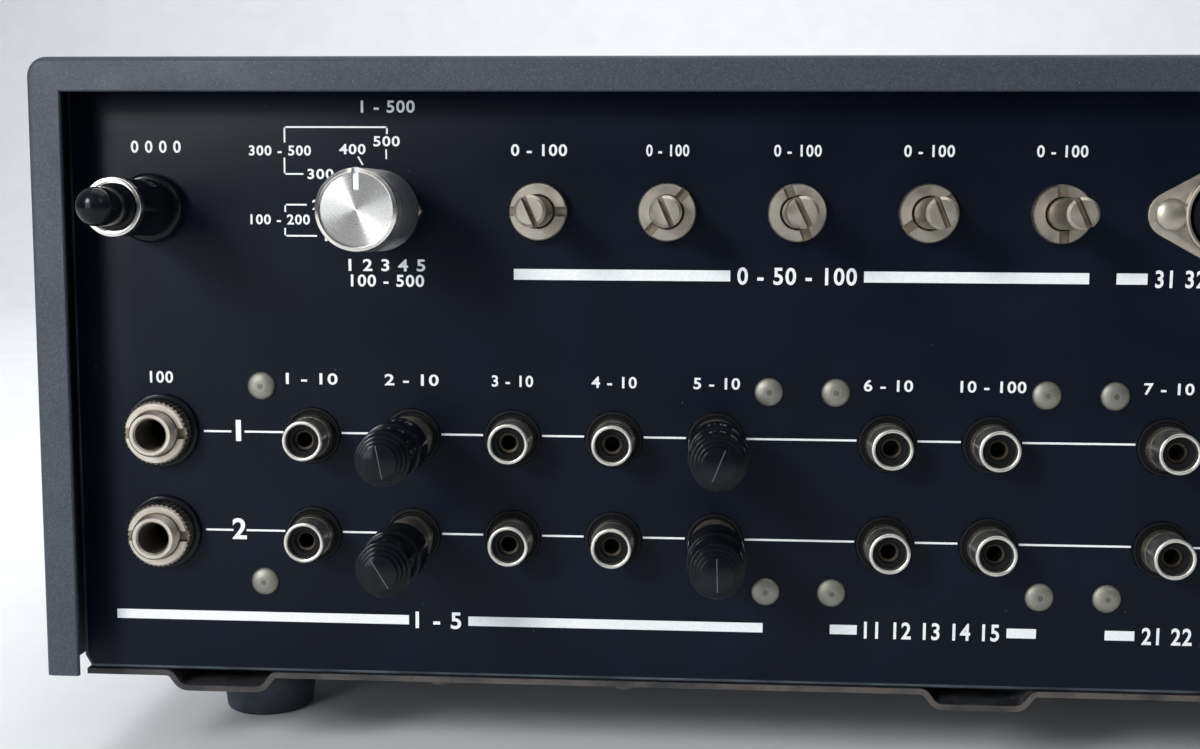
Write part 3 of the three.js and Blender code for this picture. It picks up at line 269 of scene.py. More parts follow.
def makeBrushedFace():
    # front panel: fine grain along the width
    finish = newFinish("brushed_face", (0.72, 0.72, 0.7), 0.36, 1.0)
    lines = grain(finish, 0.22 * mm, 4, (0.006, 1, 1))
    tint(finish, lines, (0.56, 0.56, 0.54), (0.78, 0.78, 0.76), 0.3, 0.7)
    polish(finish, lines, 0.3, 0.44)
    relief(finish, lines, 0.01 * mm, 0.35)
    return finish


def makePlateSteel():
    # plated chassis sheet, dulled, with brown spots
    finish = newFinish("plate_steel", (0.24, 0.24, 0.23), 0.5, 0.8)
    tone = tint(finish, grain(finish, 9 * mm, 6), (0.13, 0.13, 0.125), (0.28, 0.28, 0.27))
    stains(finish, tone, 3.2 * mm, (0.56, 0.68), (0.07, 0.05, 0.035))
    polish(finish, grain(finish, 2 * mm, 4), 0.42, 0.65)
    relief(finish, grain(finish, 0.8 * mm, 4), 0.03 * mm, 0.5)
    return finish


def makeDarkPlate():
    # bottom plate: black paint, scuffed and dusty
    finish = newFinish("dark_plate", (0.02, 0.022, 0.027), 0.6)
    tone = tint(finish, grain(finish, 8 * mm, 5), (0.014, 0.016, 0.02), (0.034, 0.037, 0.043))
    stains(finish, tone, 1.4 * mm, (0.55, 0.72), (0.12, 0.1, 0.085), 0.7)
    polish(finish, grain(finish, 2 * mm, 4), 0.5, 0.75)
    relief(finish, grain(finish, 0.6 * mm, 4), 0.03 * mm, 0.5)
    return finish


plateWear = {
    "cleanPast": 175 * mm,  # distance from the unit's middle
    "dustyWithin": 155 * mm,
    "dust": (0.4, 0.56),
    "rust": (0.57, 0.66),
}


def makePlateEdge():
    # cut edge of the bottom plate: dark at the ends, dusty between, with rust
    s = plateWear
    finish = newFinish("plate_edge", (0.03, 0.028, 0.026), 0.7)
    tone = tint(finish, grain(finish, 5 * mm, 5), (0.014, 0.015, 0.018), (0.04, 0.037, 0.035))
    apart = addNode(finish, "ShaderNodeSeparateXYZ")
    outward = addNode(finish, "ShaderNodeMath", operation="ABSOLUTE")
    worn = addNode(finish, "ShaderNodeMath", operation="MULTIPLY")
    addLink(finish, placeOn(finish), apart.inputs[0])
    addLink(finish, apart.outputs["X"], outward.inputs[0])
    addLink(finish, remap(finish, outward.outputs[0], s["cleanPast"], s["dustyWithin"]), worn.inputs[0])
    addLink(finish, grain(finish, 12 * mm, 5), worn.inputs[1])
    dusty = tintOver(finish, tone, remap(finish, worn.outputs[0], *s["dust"]), (0.075, 0.066, 0.058))
    stains(finish, dusty, 2.4 * mm, s["rust"], (0.05, 0.03, 0.02))
    relief(finish, grain(finish, 0.7 * mm, 3), 0.02 * mm, 0.3)
    return finish


def makeRubber():
    finish = newFinish("foot_rubber", (0.022, 0.026, 0.032), 0.7)
    tint(finish, grain(finish, 5 * mm, 5), (0.014, 0.018, 0.028), (0.036, 0.044, 0.062))
    polish(finish, grain(finish, 3 * mm, 4), 0.55, 0.85)
    relief(finish, grain(finish, 0.5 * mm, 3), 0.03 * mm, 0.5)
    return finish


def makeBoardFinish(name, low, high, roughness):
    finish = newFinish(name, low, roughness)
    tint(finish, grain(finish, 5 * mm, 5), low, high)
    polish(finish, grain(finish, 2 * mm, 3), roughness - 0.08, roughness + 0.1)
    relief(finish, grain(finish, 0.7 * mm, 3), 0.02 * mm, 0.3)
    return finish


def makeMeterGlass():
    clear = {"Transmission_Weight": 0.92, "IOR": 1.5, "Alpha": 0.28}
    finish = newFinish("meter_glass", (0.95, 0.97, 0.96), 0.03, 0.0, **clear)
    polish(finish, grain(finish, 20 * mm, 3), 0.02, 0.05)
    return finish


coverEnamel = makeCoverEnamel()
panelEnamel = makePanelEnamel()
# the lighter enamel for the rear panel's bends is a painted highlight
bendHighlightEnamel = makeRubbedEnamel()
printInk = makePrintInk()
agedNickel = makeNickel("aged_nickel", (0.5, 0.455, 0.39), (0.4, 0.36, 0.3), 0.36, 0.5)
# darker nickel for the walls of cut slots: dirt, with painted shade in the slots
dirtAndShadeNickel = makeNickel("dirt_and_shade_nickel", (0.3, 0.26, 0.205), (0.17, 0.145, 0.11), 0.45, 0.6)
brightNickel = makeNickel("bright_nickel", (0.82, 0.8, 0.75), (0.66, 0.63, 0.57), 0.12, 0.24)
barrelNickel = makeNickel("barrel_nickel", (0.76, 0.75, 0.69), (0.55, 0.54, 0.48), 0.3, 0.46)
tarnish = makeNickel("tarnished_contact", (0.055, 0.046, 0.035), (0.022, 0.018, 0.015), 0.45, 0.6)
rivetNickel = makeNickel("rivet_nickel", (0.3, 0.295, 0.258), (0.235, 0.23, 0.198), 0.5, 0.6)
# darker nickel laid in the rivets' dimples: painted shade in the hollow
rivetDimpleShade = makeNickel("rivet_dimple_shade", (0.2, 0.19, 0.165), (0.13, 0.12, 0.105), 0.5, 0.62)
blackGloss = makeBlackMoulding("black_gloss", (0.0032, 0.004, 0.006), 0.1, 0.17)
blackMatt = makeBlackMoulding("black_matt", (0.0032, 0.0034, 0.004), 0.5, 0.13)
mouldFlash = makeBlackMoulding("mould_flash", (0.06, 0.066, 0.076), 0.35, 0.4)
satinAluminium = makeSatinAluminium()
brushedFace = makeBrushedFace()
plateSteel = makePlateSteel()
darkPlate = makeDarkPlate()
plateEdge = makePlateEdge()
footRubber = makeRubber()
laminate = makeBoardFinish("jack_laminate", (0.035, 0.02, 0.012), (0.06, 0.036, 0.02), 0.55)
circuitGreen = makeBoardFinish("circuit_green", (0.09, 0.12, 0.04), (0.15, 0.19, 0.07), 0.45)
coreIron = makeBoardFinish("core_iron", (0.05, 0.05, 0.052), (0.11, 0.105, 0.1), 0.55)
dialCream = makeBoardFinish("dial_cream", (0.78, 0.71, 0.53), (0.86, 0.8, 0.62), 0.5)
dialBlack = makeBlackMoulding("dial_black", (0.012, 0.012, 0.013), 0.5, 0.4)
markBlack = makeBlackMoulding("mark_black", (0.015, 0.015, 0.016), 0.6, 0.4)
meterGlass = makeMeterGlass()
print("finishes made:", len(bpy.data.materials))


# Mesh makers
def newMesh(source=None):
    # empty, or a copy of another mesh
    shape = bmesh.new()
    if source:
        shape.from_mesh(source)
    return shape


def addObject(name, data):
    piece = bpy.data.objects.new(name, data)
    bpy.context.scene.collection.objects.link(piece)
    return piece


def arc(middle, radii, start, end, steps):
    # points from one angle to another in degrees, of a circle or an ellipse
    points = []
    for i in range(steps + 1):
        angle = math.radians(start + (end - start) * i / steps)
        points.append((middle[0] + radii[0] * math.cos(angle), middle[1] + radii[1] * math.sin(angle)))
    return points


def addTurned(shape, profile, seat=(0, 0, 0), sides=48, material=0, facing=1, closed=False):
    # profile: (radius, height above the seat[, knurl depth]) from the seat outwards, round the Y axis
    rings = []
    for radius, height, *knurl in profile:
        depth = knurl[0] if knurl else 0
        if radius < 0.001 * mm:
            rings.append([shape.verts.new((seat[0], seat[1] + facing * height, seat[2]))])
            continue
        ring = []
        for i in range(sides):
            angle = 2 * math.pi * i / sides
            reach = radius - (depth if i % 2 else 0)
            x = seat[0] + reach * math.cos(angle)
            z = seat[2] + reach * math.sin(angle)
            ring.append(shape.verts.new((x, seat[1] + facing * height, z)))
        rings.append(ring)
    pairs = list(zip(rings, rings[1:]))
    if closed:
        pairs.append((rings[-1], rings[0]))
    for near, far in pairs:
        for i in range(sides):
            j = (i + 1) % sides
            corners = [near[i % len(near)], near[j % len(near)], far[j % len(far)], far[i % len(far)]]
            face = shape.faces.new(list(dict.fromkeys(corners)))
            face.material_index = material


def turned(profile, *place, **settings):
    shape = newMesh()
    addTurned(shape, profile, *place, **settings)
    return shape


def addBlock(shape, low, high):
    across, along, up = zip(low, high)
    corners = [shape.verts.new((x, y, z)) for x in across for y in along for z in up]
    for loop in ((0, 1, 3, 2), (4, 6, 7, 5), (0, 4, 5, 1), (2, 3, 7, 6), (0, 2, 6, 4), (1, 5, 7, 3)):
        shape.faces.new([corners[i] for i in loop])


def block(low, high):
    shape = newMesh()
    addBlock(shape, low, high)
    return shape


def addPrism(shape, near, far):
    # the same outline at both ends, with walls between
    near, far = ([shape.verts.new(point) for point in outline] for outline in (near, far))
    shape.faces.new(near)
    shape.faces.new(far[::-1])
    for i in range(len(near)):
        j = (i + 1) % len(near)
        shape.faces.new([near[i], far[i], far[j], near[j]])


def roundedRim(radius, height, bend, steps=3):
    # the outer corner of a turned piece, from the side up to the top
    return arc((radius - bend, height - bend), (bend, bend), 0, 90, steps)


def softCorner(radius, height, soft):
    # the same corner with two small flats
    return [(radius, height - soft), (radius - 0.3 * soft, height - 0.3 * soft), (radius - soft, height)]


def markSharp(mesh, angle):
    shape = newMesh(mesh)
    for face in shape.faces:
        face.smooth = True
    for edge in shape.edges:
        edge.smooth = len(edge.link_faces) == 2 and edge.calc_face_angle(0) < math.radians(angle)
    shape.to_mesh(mesh)
    shape.free()


def makeObject(name, shape, finishes, sharp=35, flat=False):
    bmesh.ops.remove_doubles(shape, verts=shape.verts, dist=mergeWithin)
    if not flat:
        bmesh.ops.recalc_face_normals(shape, faces=shape.faces)
    mesh = bpy.data.meshes.new(name)
    shape.to_mesh(mesh)
    shape.free()
    for finish in finishes:
        mesh.materials.append(finish)
    markSharp(mesh, sharp)
    return addObject(name, mesh)


def bake(piece, sharp=35):
    # turns the modified piece into a plain mesh
    graph = bpy.context.evaluated_depsgraph_get()
    mesh = bpy.data.meshes.new_from_object(piece.evaluated_get(graph))
    piece.modifiers.clear()
    piece.data = mesh
    markSharp(mesh, sharp)


def cut(piece, cutter, sharp=35, inside=None):
    # takes the cutter's shape out of the piece, and gives the cut's walls the finish named inside
    tool = makeObject("cutter", cutter, [inside] if inside else [])
    boolean = piece.modifiers.new("cut", "BOOLEAN")
    boolean.operation = "DIFFERENCE"
    boolean.solver = "EXACT"
    boolean.material_mode = "TRANSFER" if inside else "INDEX"
    boolean.object = tool
    bake(piece, sharp)
    bpy.data.objects.remove(tool)


def turnPiece(piece, angle, centre):
    # turns the mesh about the Y axis through a centre
    turn = Matrix.Translation(centre) @ Matrix.Rotation(angle, 4, "Y") @ Matrix.Translation(-Vector(centre))
    piece.data.transform(turn)


def nodeShape(node):
    # a CAD node's mesh, its doubles merged and its flat faces joined
    shape = newMesh(nodes[node].data)
    bmesh.ops.remove_doubles(shape, verts=shape.verts, dist=nodeMerge)
    bmesh.ops.dissolve_limit(shape, angle_limit=math.radians(1), verts=shape.verts, edges=shape.edges)
    return shape


def roundEdges(shape, edges, width, steps, **settings):
    bmesh.ops.bevel(shape, geom=edges, offset=width, segments=steps, profile=0.5, affect="EDGES", **settings)


def dress(node, finish, edge, steps=2, cornerAngle=44):
    # a copy of a CAD node with its corners rounded
    shape = nodeShape(node)
    corner = math.radians(cornerAngle)
    edges = [e for e in shape.edges if len(e.link_faces) == 2 and e.calc_face_angle(0) > corner]
    roundEdges(shape, edges, edge, steps, clamp_overlap=True)
    return makeObject(f"{node}_skin", shape, [finish])


def settle(piece, body="chassis", standsFor=()):
    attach(piece, body)
    if standsFor:
        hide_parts(*standsFor)


def refinish(node, finish):
    materials = nodes[node].data.materials
    materials.clear()
    materials.append(finish)


# Geometry Nodes
def newTree(name, inputs):
    tree = bpy.data.node_groups.new(name, "GeometryNodeTree")
    for label, kind in inputs.items():
        tree.interface.new_socket(label, in_out="INPUT", socket_type=f"NodeSocket{kind}")
    tree.interface.new_socket("Geometry", in_out="OUTPUT", socket_type="NodeSocketGeometry")
    return tree


def joinNodes(tree, links):
    for source, output, target, socket in links:
        tree.links.new(source.outputs[output], target.inputs[socket])


def socketOf(tree, name):
    sockets = tree.interface.items_tree
    return next(item.identifier for item in sockets if item.name == name and item.in_out == "INPUT")


def growBy(piece, tree, inputs, sharp=35):
    # runs a tree on a piece and keeps the plain mesh
    modifier = piece.modifiers.new(tree.name, "NODES")
    modifier.node_group = tree
    for label, value in inputs.items():
        modifier[socketOf(tree, label)] = value
    bake(piece, sharp)


def makeCopiesTree():
    # copies of a prototype at the points of a mesh, each turned about Y by chance
    tree = newTree("copies_at_points", {
        "Points": "Geometry", "Prototype": "Object", "Finish": "Material",
        "Largest turn": "Float", "Seed": "Int",
    })
    make = tree.nodes.new
    given, result = make("NodeGroupInput"), make("NodeGroupOutput")
    source = make("GeometryNodeObjectInfo")
    negative = make("ShaderNodeMath")
    negative.operation = "MULTIPLY"
    negative.inputs[1].default_value = -1
    chance = make("FunctionNodeRandomValue")
    chance.data_type = "FLOAT"
    turn = make("ShaderNodeCombineXYZ")
    rotation = make("FunctionNodeEulerToRotation")
    copies = make("GeometryNodeInstanceOnPoints")
    real = make("GeometryNodeRealizeInstances")
    coated = make("GeometryNodeSetMaterial")
    joinNodes(tree, (
        (given, "Prototype", source, "Object"),
        (given, "Largest turn", negative, 0),
        (negative, 0, chance, 2),
        (given, "Largest turn", chance, 3),
        (given, "Seed", chance, "Seed"),
        (chance, 1, turn, "Y"),
        (turn, 0, rotation, 0),
        (given, "Points", copies, "Points"),
        (source, "Geometry", copies, "Instance"),
        (rotation, 0, copies, "Rotation"),
        (copies, "Instances", real, "Geometry"),
        (real, "Geometry", coated, "Geometry"),
        (given, "Finish", coated, "Material"),
        (coated, "Geometry", result, "Geometry"),
    ))
    return tree


copiesTree = makeCopiesTree()


def copyTo(name, shape, seats, finish, largestTurn=0.0, seed=1, sharp=35):
    prototype = makeObject(f"{name}_prototype", shape, [finish], sharp)
    points = bpy.data.meshes.new(name)
    points.from_pydata([tuple(seat) for seat in seats], [], [])
    piece = addObject(name, points)
    inputs = {"Prototype": prototype, "Finish": finish, "Largest turn": largestTurn, "Seed": seed}
    growBy(piece, copiesTree, inputs, sharp)
    bpy.data.objects.remove(prototype)
    return piece


def makeVentTree():
    # rows of slots cut through a sheet
    tree = newTree("vent_slots", {
        "Geometry": "Geometry", "Slot": "Object", "Count": "Int",
        "Start": "Vector", "Step": "Vector", "Row step": "Vector", "Finish": "Material",
    })
    make = tree.nodes.new
    given, result = make("NodeGroupInput"), make("NodeGroupOutput")
    row, rows = make("GeometryNodeMeshLine"), make("GeometryNodeMeshLine")
    rows.inputs["Count"].default_value = 2
    grid = make("GeometryNodeInstanceOnPoints")
    gridReal = make("GeometryNodeRealizeInstances")
    source = make("GeometryNodeObjectInfo")
    slots = make("GeometryNodeInstanceOnPoints")
    real = make("GeometryNodeRealizeInstances")
    opened = make("GeometryNodeMeshBoolean")
    opened.operation = "DIFFERENCE"
    coated = make("GeometryNodeSetMaterial")
    joinNodes(tree, (
        (given, "Count", row, "Count"),
        (given, "Start", row, "Start Location"),
        (given, "Step", row, "Offset"),
        (given, "Row step", rows, "Offset"),
        (rows, "Mesh", grid, "Points"),
        (row, "Mesh", grid, "Instance"),
        (grid, "Instances", gridReal, "Geometry"),
        (given, "Slot", source, "Object"),
        (gridReal, "Geometry", slots, "Points"),
        (source, "Geometry", slots, "Instance"),
        (slots, "Instances", real, "Geometry"),
        (given, "Geometry", opened, "Mesh 1"),
        (real, "Geometry", opened, "Mesh 2"),
        (opened, "Mesh", coated, "Geometry"),
        (given, "Finish", coated, "Material"),
        (coated, "Geometry", result, "Geometry"),
    ))
    return tree


# Cover: a folded sheet with rounded corners, its rear edge bent in, and two rows of vent slots
coverFold = {
    "sheet": 1.2 * mm,
    "corner": 4 * mm,
    "bend": 1.5 * mm,  # outer radius where the rear edge turns in
    "flange": 6.9 * mm,
    "rim": 0.25 * mm,  # softened edge of the flange
    "cornerSteps": 10,
    "bendSteps": 5,
    "ventWidth": 3 * mm,
    "ventLength": 26 * mm,
    "ventPitch": 9 * mm,
    "ventRowGap": 10 * mm,
    "ventSetback": 62 * mm,
    "ventCount": 14,
    "ventEndSteps": 8,
}


def makeVentSlot():
    s = coverFold
    outline = []
    for side in (1, -1):
        radius = side * s["ventWidth"] / 2
        end = side * (s["ventLength"] - s["ventWidth"]) / 2
        outline += arc((0, end), (radius, radius), 0, 180, s["ventEndSteps"])
    shape = newMesh()
    addPrism(shape, *([(x, y, z) for x, y in outline] for z in (-3 * s["sheet"], s["sheet"])))
    return makeObject("vent_slot", shape, [])


def makeCover():
    s = coverFold
    low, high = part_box("cover")
    frontY, backY = low.y, high.y
    bend, sheet, rim, flange = s["bend"], s["sheet"], s["rim"], s["flange"]
    # distance in from the outside, place along Y: round the bend, along the flange and back inside
    profile = [(0, frontY)] + arc((bend, backY - bend), (-bend, bend), 0, 90, s["bendSteps"])
    profile += [(flange - rim, backY), (flange, backY - rim), (flange, backY - sheet + rim)]
    profile += [(flange - rim, backY - sheet), (bend, backY - sheet), (sheet, backY - bend), (sheet, frontY)]
    shape = newMesh()
    rows = []
    for inset, y in profile:
        radius = max(s["corner"] - inset, 0)
        edgeX = high.x - inset
        points = [(edgeX, low.z)]
        points += arc((edgeX - radius, high.z - inset - radius), (radius, radius), 0, 90, s["cornerSteps"])
        points += [(-x, z) for x, z in reversed(points)]
        rows.append([shape.verts.new((x, y, z)) for x, z in points])
    for near, far in zip(rows, rows[1:] + rows[:1]):
        for a in range(len(near) - 1):
            shape.faces.new([near[a], near[a + 1], far[a + 1], far[a]])
    shape.faces.new([row[0] for row in rows])
    shape.faces.new([row[-1] for row in rows][::-1])
    cover = makeObject("cover_shell", shape, [coverEnamel])
    slot = makeVentSlot()
    rowStep = s["ventLength"] + s["ventRowGap"]
    startX = -(s["ventCount"] - 1) / 2 * s["ventPitch"]
    growBy(cover, makeVentTree(), {
        "Slot": slot,
        "Count": s["ventCount"],
        "Start": (startX, backY - s["ventSetback"] - rowStep / 2, high.z),
        "Step": (s["ventPitch"], 0, 0),
        "Row step": (0, rowStep, 0),
        "Finish": coverEnamel,
    })
    bpy.data.objects.remove(slot)
    settle(cover, standsFor=["cover"])


makeCover()
print("cover made")


# Rear panel: the sheet's outer edges are bent, so they are rounded more than the holes
rearSheet = {"bend": 0.9 * mm, "steps": 3}


def makeRearPanel():
    low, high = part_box("rear_panel")
    shape = nodeShape("rear_panel")

    def atOutside(vert):
        x, y, z = vert.co
        toSide = min(abs(x - low.x), abs(x - high.x), abs(z - low.z), abs(z - high.z))
        return max(toSide, abs(y - high.y)) < 0.01 * mm

    bends = [edge for edge in shape.edges if all(atOutside(vert) for vert in edge.verts)]
    bends = [edge for edge in bends if edge.calc_face_angle(0) > 1]
    # the rounded bends take the second finish, lighter enamel that paints a highlight along them
    roundEdges(shape, bends, rearSheet["bend"], rearSheet["steps"], material=1)
    skin = makeObject("rear_panel_skin", shape, [panelEnamel, bendHighlightEnamel])
    settle(skin, standsFor=["rear_panel"])


makeRearPanel()


# Bottom plate: one sheet with three channels pressed along the depth
plateMaker = {
    "sheet": 1.2 * mm,
    "channels": (-158.2 * mm, 0.0, 158.2 * mm),
    "mouth": 21.5 * mm,
    "floor": 17 * mm,
    "bend": 1.3 * mm,  # how far each bend reaches along the sheet
    "bendSteps": 4,
}


def makeBottomPlate():
    s = plateMaker
    low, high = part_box("bottom_plate")
    depth = high.z - low.z - s["sheet"]
    channel = ((-s["mouth"], 0), (-s["floor"], depth), (s["floor"], depth), (s["mouth"], 0))  # width, drop
    corners = [Vector((low.x, high.z))]
    corners += [Vector((x + width / 2, high.z - drop)) for x in s["channels"] for width, drop in channel]
    corners.append(Vector((high.x, high.z)))
    path = [corners[0]]
    for before, here, after in zip(corners, corners[1:], corners[2:]):
        start = here + (before - here).normalized() * s["bend"]
        end = here + (after - here).normalized() * s["bend"]
        for i in range(s["bendSteps"] + 1):
            t = i / s["bendSteps"]
            path.append(start * (1 - t) ** 2 + here * 2 * t * (1 - t) + end * t ** 2)
    path.append(corners[-1])
    under = []
    for i, point in enumerate(path):
        along = (path[min(i + 1, len(path) - 1)] - path[max(i - 1, 0)]).normalized()
        under.append(point - Vector((-along.y, along.x)) * s["sheet"])
    shape = newMesh()
    rows = [[shape.verts.new((p.x, y, p.y)) for p in line] for line in (path, under) for y in (low.y, high.y)]
    topFront, topBack, underFront, underBack = rows
    for i in range(len(path) - 1):
        shape.faces.new([topFront[i], topFront[i + 1], topBack[i + 1], topBack[i]])
        shape.faces.new([underFront[i], underBack[i], underBack[i + 1], underFront[i + 1]])
        shape.faces.new([topFront[i], underFront[i], underFront[i + 1], topFront[i + 1]])
        shape.faces.new([topBack[i], topBack[i + 1], underBack[i + 1], underBack[i]]).material_index = 1
    for i in (0, -1):
        shape.faces.new([topFront[i], topBack[i], underBack[i], underFront[i]])
    plate = makeObject("bottom_plate_pressed", shape, [darkPlate, plateEdge])
    settle(plate, standsFor=["bottom_plate"])


makeBottomPlate()


# White print: bars, lines, brackets and plain numbers; the lists are in millimetres, right of and above the
# first upper jack
printing = {
    "lift": 0.04 * mm,
    "lineOver": 0.55 * mm,  # lines run a little above the jacks' middles
    "lineWidth": 0.42 * mm,
    "jackGap": 6.1 * mm,
    "letterGap": (-17.1 * mm, -14.3 * mm),
    "lineStart": -22.9 * mm,
    "thin": 0.34 * mm,
}
wideBars = {
    "level": [(41.9, 85.6), (112.2, 156.3), (161.6, 167.6), (197.8, 203.8)],
    "levelRise": (31.9, 34.1),
    "blocks": [
        (-42.5, 19.8), (32.3, 93.3), (107.0, 112.5), (142.7, 148.6),
        (162.3, 168.2), (198.4, 204.3), (217.6, 223.5), (253.7, 259.6),
    ],
    "blockRise": (-40.2, -38.2),
}
brackets = [
    [(-4.8, 59.5), (-4.8, 62.4), (16.2, 62.4), (16.2, 61.2)],
    [(-4.9, 56.1), (-4.9, 53.0), (-1.2, 53.0)],
    [(-0.6, 46.8), (-4.9, 46.8), (-4.9, 45.5)],
    [(-5.0, 41.9), (-5.0, 40.5), (1.4, 40.5)],
    [(16.0, 57.8), (16.0, 56.2)],
    [(10.3, 56.4), (11.1, 55.0)],
]
plainNumbers = [  # text, middle to the right, middle up, height, width
    ("500", 16.1, 59.6, 2.0, 5.4), ("400", 9.1, 58.0, 2.0, 5.4), ("300", 2.5, 53.0, 2.0, 5.4),
    ("200", 3.4, 46.8, 2.0, 5.4), ("100", 5.9, 40.5, 2.0, 5.4), ("300 - 500", -5.8, 57.7, 2.0, 12.8),
    ("100 - 200", -6.0, 43.8, 2.0, 12.3), ("1 2 3 4 5", 15.9, 34.65, 2.4, 15.8),
    ("100 - 500", 16.0, 31.5, 2.4, 15.1), ("1 - 500", 16.4, 66.5, 2.4, 11.0),
    ("0 0 0 0", -31.5, 58.4, 2.4, 10.4), ("100", -31.6, 11.2, 2.4, 4.9),
    ("0 - 50 - 100", 98.9, 33.0, 3.4, 23.8), ("31 32 33 34 35", 182.7, 33.0, 3.4, 27.2),
    ("1 - 5", 26.0, -39.2, 3.5, 9.6),
    ("11 12 13 14 15", 127.6, -39.2, 3.5, 27.3), ("21 22 23 24 25", 183.3, -39.2, 3.5, 27.3),
    ("41 42 43 44 45", 238.6, -39.2, 3.5, 27.3), ("1", -15.6, 0.2, 4.4, 1.1), ("2", -15.8, -20.5, 4.4, 3.0),
]
levelNumbers = {"text": "0 - 100", "rise": 57.9, "height": 2.3, "widths": (11.3, 8.6, 9.4, 9.9, 9.9)}
columnNumbers = {  # over each pair of jacks: text and width
    "rise": 11.2,
    "height": 2.3,
    "texts": (
        ("1 - 10", 10.8), ("2 - 10", 11.2), ("3 - 10", 8.5), ("4 - 10", 9.2), ("5 - 10", 9.4), ("6 - 10", 9.8),
        ("10 - 100", 13.0), ("7 - 10", 9.8), ("20 - 100", 13.0), ("8 - 10", 9.8), ("30 - 100", 13.0),
    ),
}


numerals = {
    "rise": 0.72,  # height of a numeral in the font, over its size
    "weight": 0.03,
    "spacing": 1.12,
    "narrow": 0.78,  # width where none is given
    "steps": 4,
}


def lettering(text, height, width=None):
    # numerals centred on their middle, as a flat mesh
    s = numerals
    curve = bpy.data.curves.new("numeral", "FONT")
    curve.body = text
    curve.size = height / s["rise"]
    curve.offset = s["weight"] * height
    curve.align_x = "CENTER"
    curve.align_y = "CENTER"
    curve.space_character = s["spacing"]
    curve.resolution_u = s["steps"]
    holder = addObject("numeral", curve)
    mesh = bpy.data.meshes.new_from_object(holder.evaluated_get(bpy.context.evaluated_depsgraph_get()))
    bpy.data.objects.remove(holder)
    low = [min(v.co[i] for v in mesh.vertices) for i in (0, 1)]
    high = [max(v.co[i] for v in mesh.vertices) for i in (0, 1)]
    stretch = width / (high[0] - low[0]) if width else s["narrow"]
    middle = Vector((-(low[0] + high[0]) / 2, -(low[1] + high[1]) / 2, 0))
    mesh.transform(Matrix.Diagonal((stretch, 1, 1, 1)) @ Matrix.Translation(middle))
    return mesh


def addLettering(shape, text, x, y, height, width=None):
    mesh = lettering(text, height, width)
    mesh.transform(Matrix.Translation((x, y, 0)))
    shape.from_mesh(mesh)


def addPatch(shape, x0, x1, y0, y1):
    shape.faces.new([shape.verts.new((x, y, 0)) for x, y in ((x0, y0), (x1, y0), (x1, y1), (x0, y1))])


def addStroke(shape, start, end, width):
    start, end = Vector(start), Vector(end)
    along = (end - start).normalized() * width / 2
    across = Vector((-along.y, along.x))
    corners = [start - along - across, end + along - across, end + along + across, start - along + across]
    shape.faces.new([shape.verts.new((p.x, p.y, 0)) for p in corners])


def settlePrint(name, shape, finish, place, facing, lift):
    # a flat drawing, laid on a sheet a little proud of it
    for v in shape.verts:
        v.co.z = lift
    shape.transform(Matrix.Translation(place) @ facing)
    settle(makeObject(name, shape, [finish], flat=True))


def makeRearPrint():
    s = printing
    shape = newMesh()
    for bars, rise in (("level", "levelRise"), ("blocks", "blockRise")):
        for x0, x1 in wideBars[bars]:
            addPatch(shape, x0 * mm, x1 * mm, *(y * mm for y in wideBars[rise]))
    for bracket in brackets:
        for start, end in zip(bracket, bracket[1:]):
            addStroke(shape, [v * mm for v in start], [v * mm for v in end], s["thin"])
    stops = [s["letterGap"]] + [(firstJackX - x - s["jackGap"], firstJackX - x + s["jackGap"]) for x in columnX]
    for y in (0, lowerZ - upperZ):
        start = s["lineStart"]
        for gapStart, gapEnd in stops:
            addPatch(shape, start, gapStart, y - s["lineWidth"] / 2, y + s["lineWidth"] / 2)
            start = gapEnd
    for text, u, v, height, width in plainNumbers:
        addLettering(shape, text, u * mm, v * mm, height * mm, width * mm)
    levelTexts = [(levelNumbers["text"], width) for width in levelNumbers["widths"]]
    for n, columns, texts in (
        (levelNumbers, levelColumns, levelTexts),
        (columnNumbers, columnX, columnNumbers["texts"]),
    ):
        for x, (text, width) in zip(columns, texts):
            addLettering(shape, text, firstJackX - x, n["rise"] * mm, n["height"] * mm, width * mm)
    place = (firstJackX, rearY, upperZ + s["lineOver"])
    settlePrint("rear_print", shape, printInk, place, rearFacing, s["lift"])


makeRearPrint()
print("rear print made")


# Phono jacks: washer, knurled collar, barrel, insulator and centre contact
jackMaker = {
    "reach": 8.55 * mm,
    "start": 0.6 * mm,  # the barrel's foot, above the panel
    "barrel": 4.15 * mm,
    "mouth": 3.3 * mm,
    "lipSteps": 8,
    "collar": 4.45 * mm,
    "collarReach": 3.0 * mm,
    "teeth": 36,
    "tooth": 0.16 * mm,
    "washer": 5.8 * mm,
    "washerHeight": 0.45 * mm,
    "washerDish": (5.2 * mm, 5.0 * mm, 0.2 * mm),  # two radii and the height of its floor
    "insulatorDepth": 1.5 * mm,
    "insulatorFloor": 1.2 * mm,
    "contact": 2.1 * mm,
    "contactBore": 1.55 * mm,
    "contactDepth": 0.9 * mm,
}


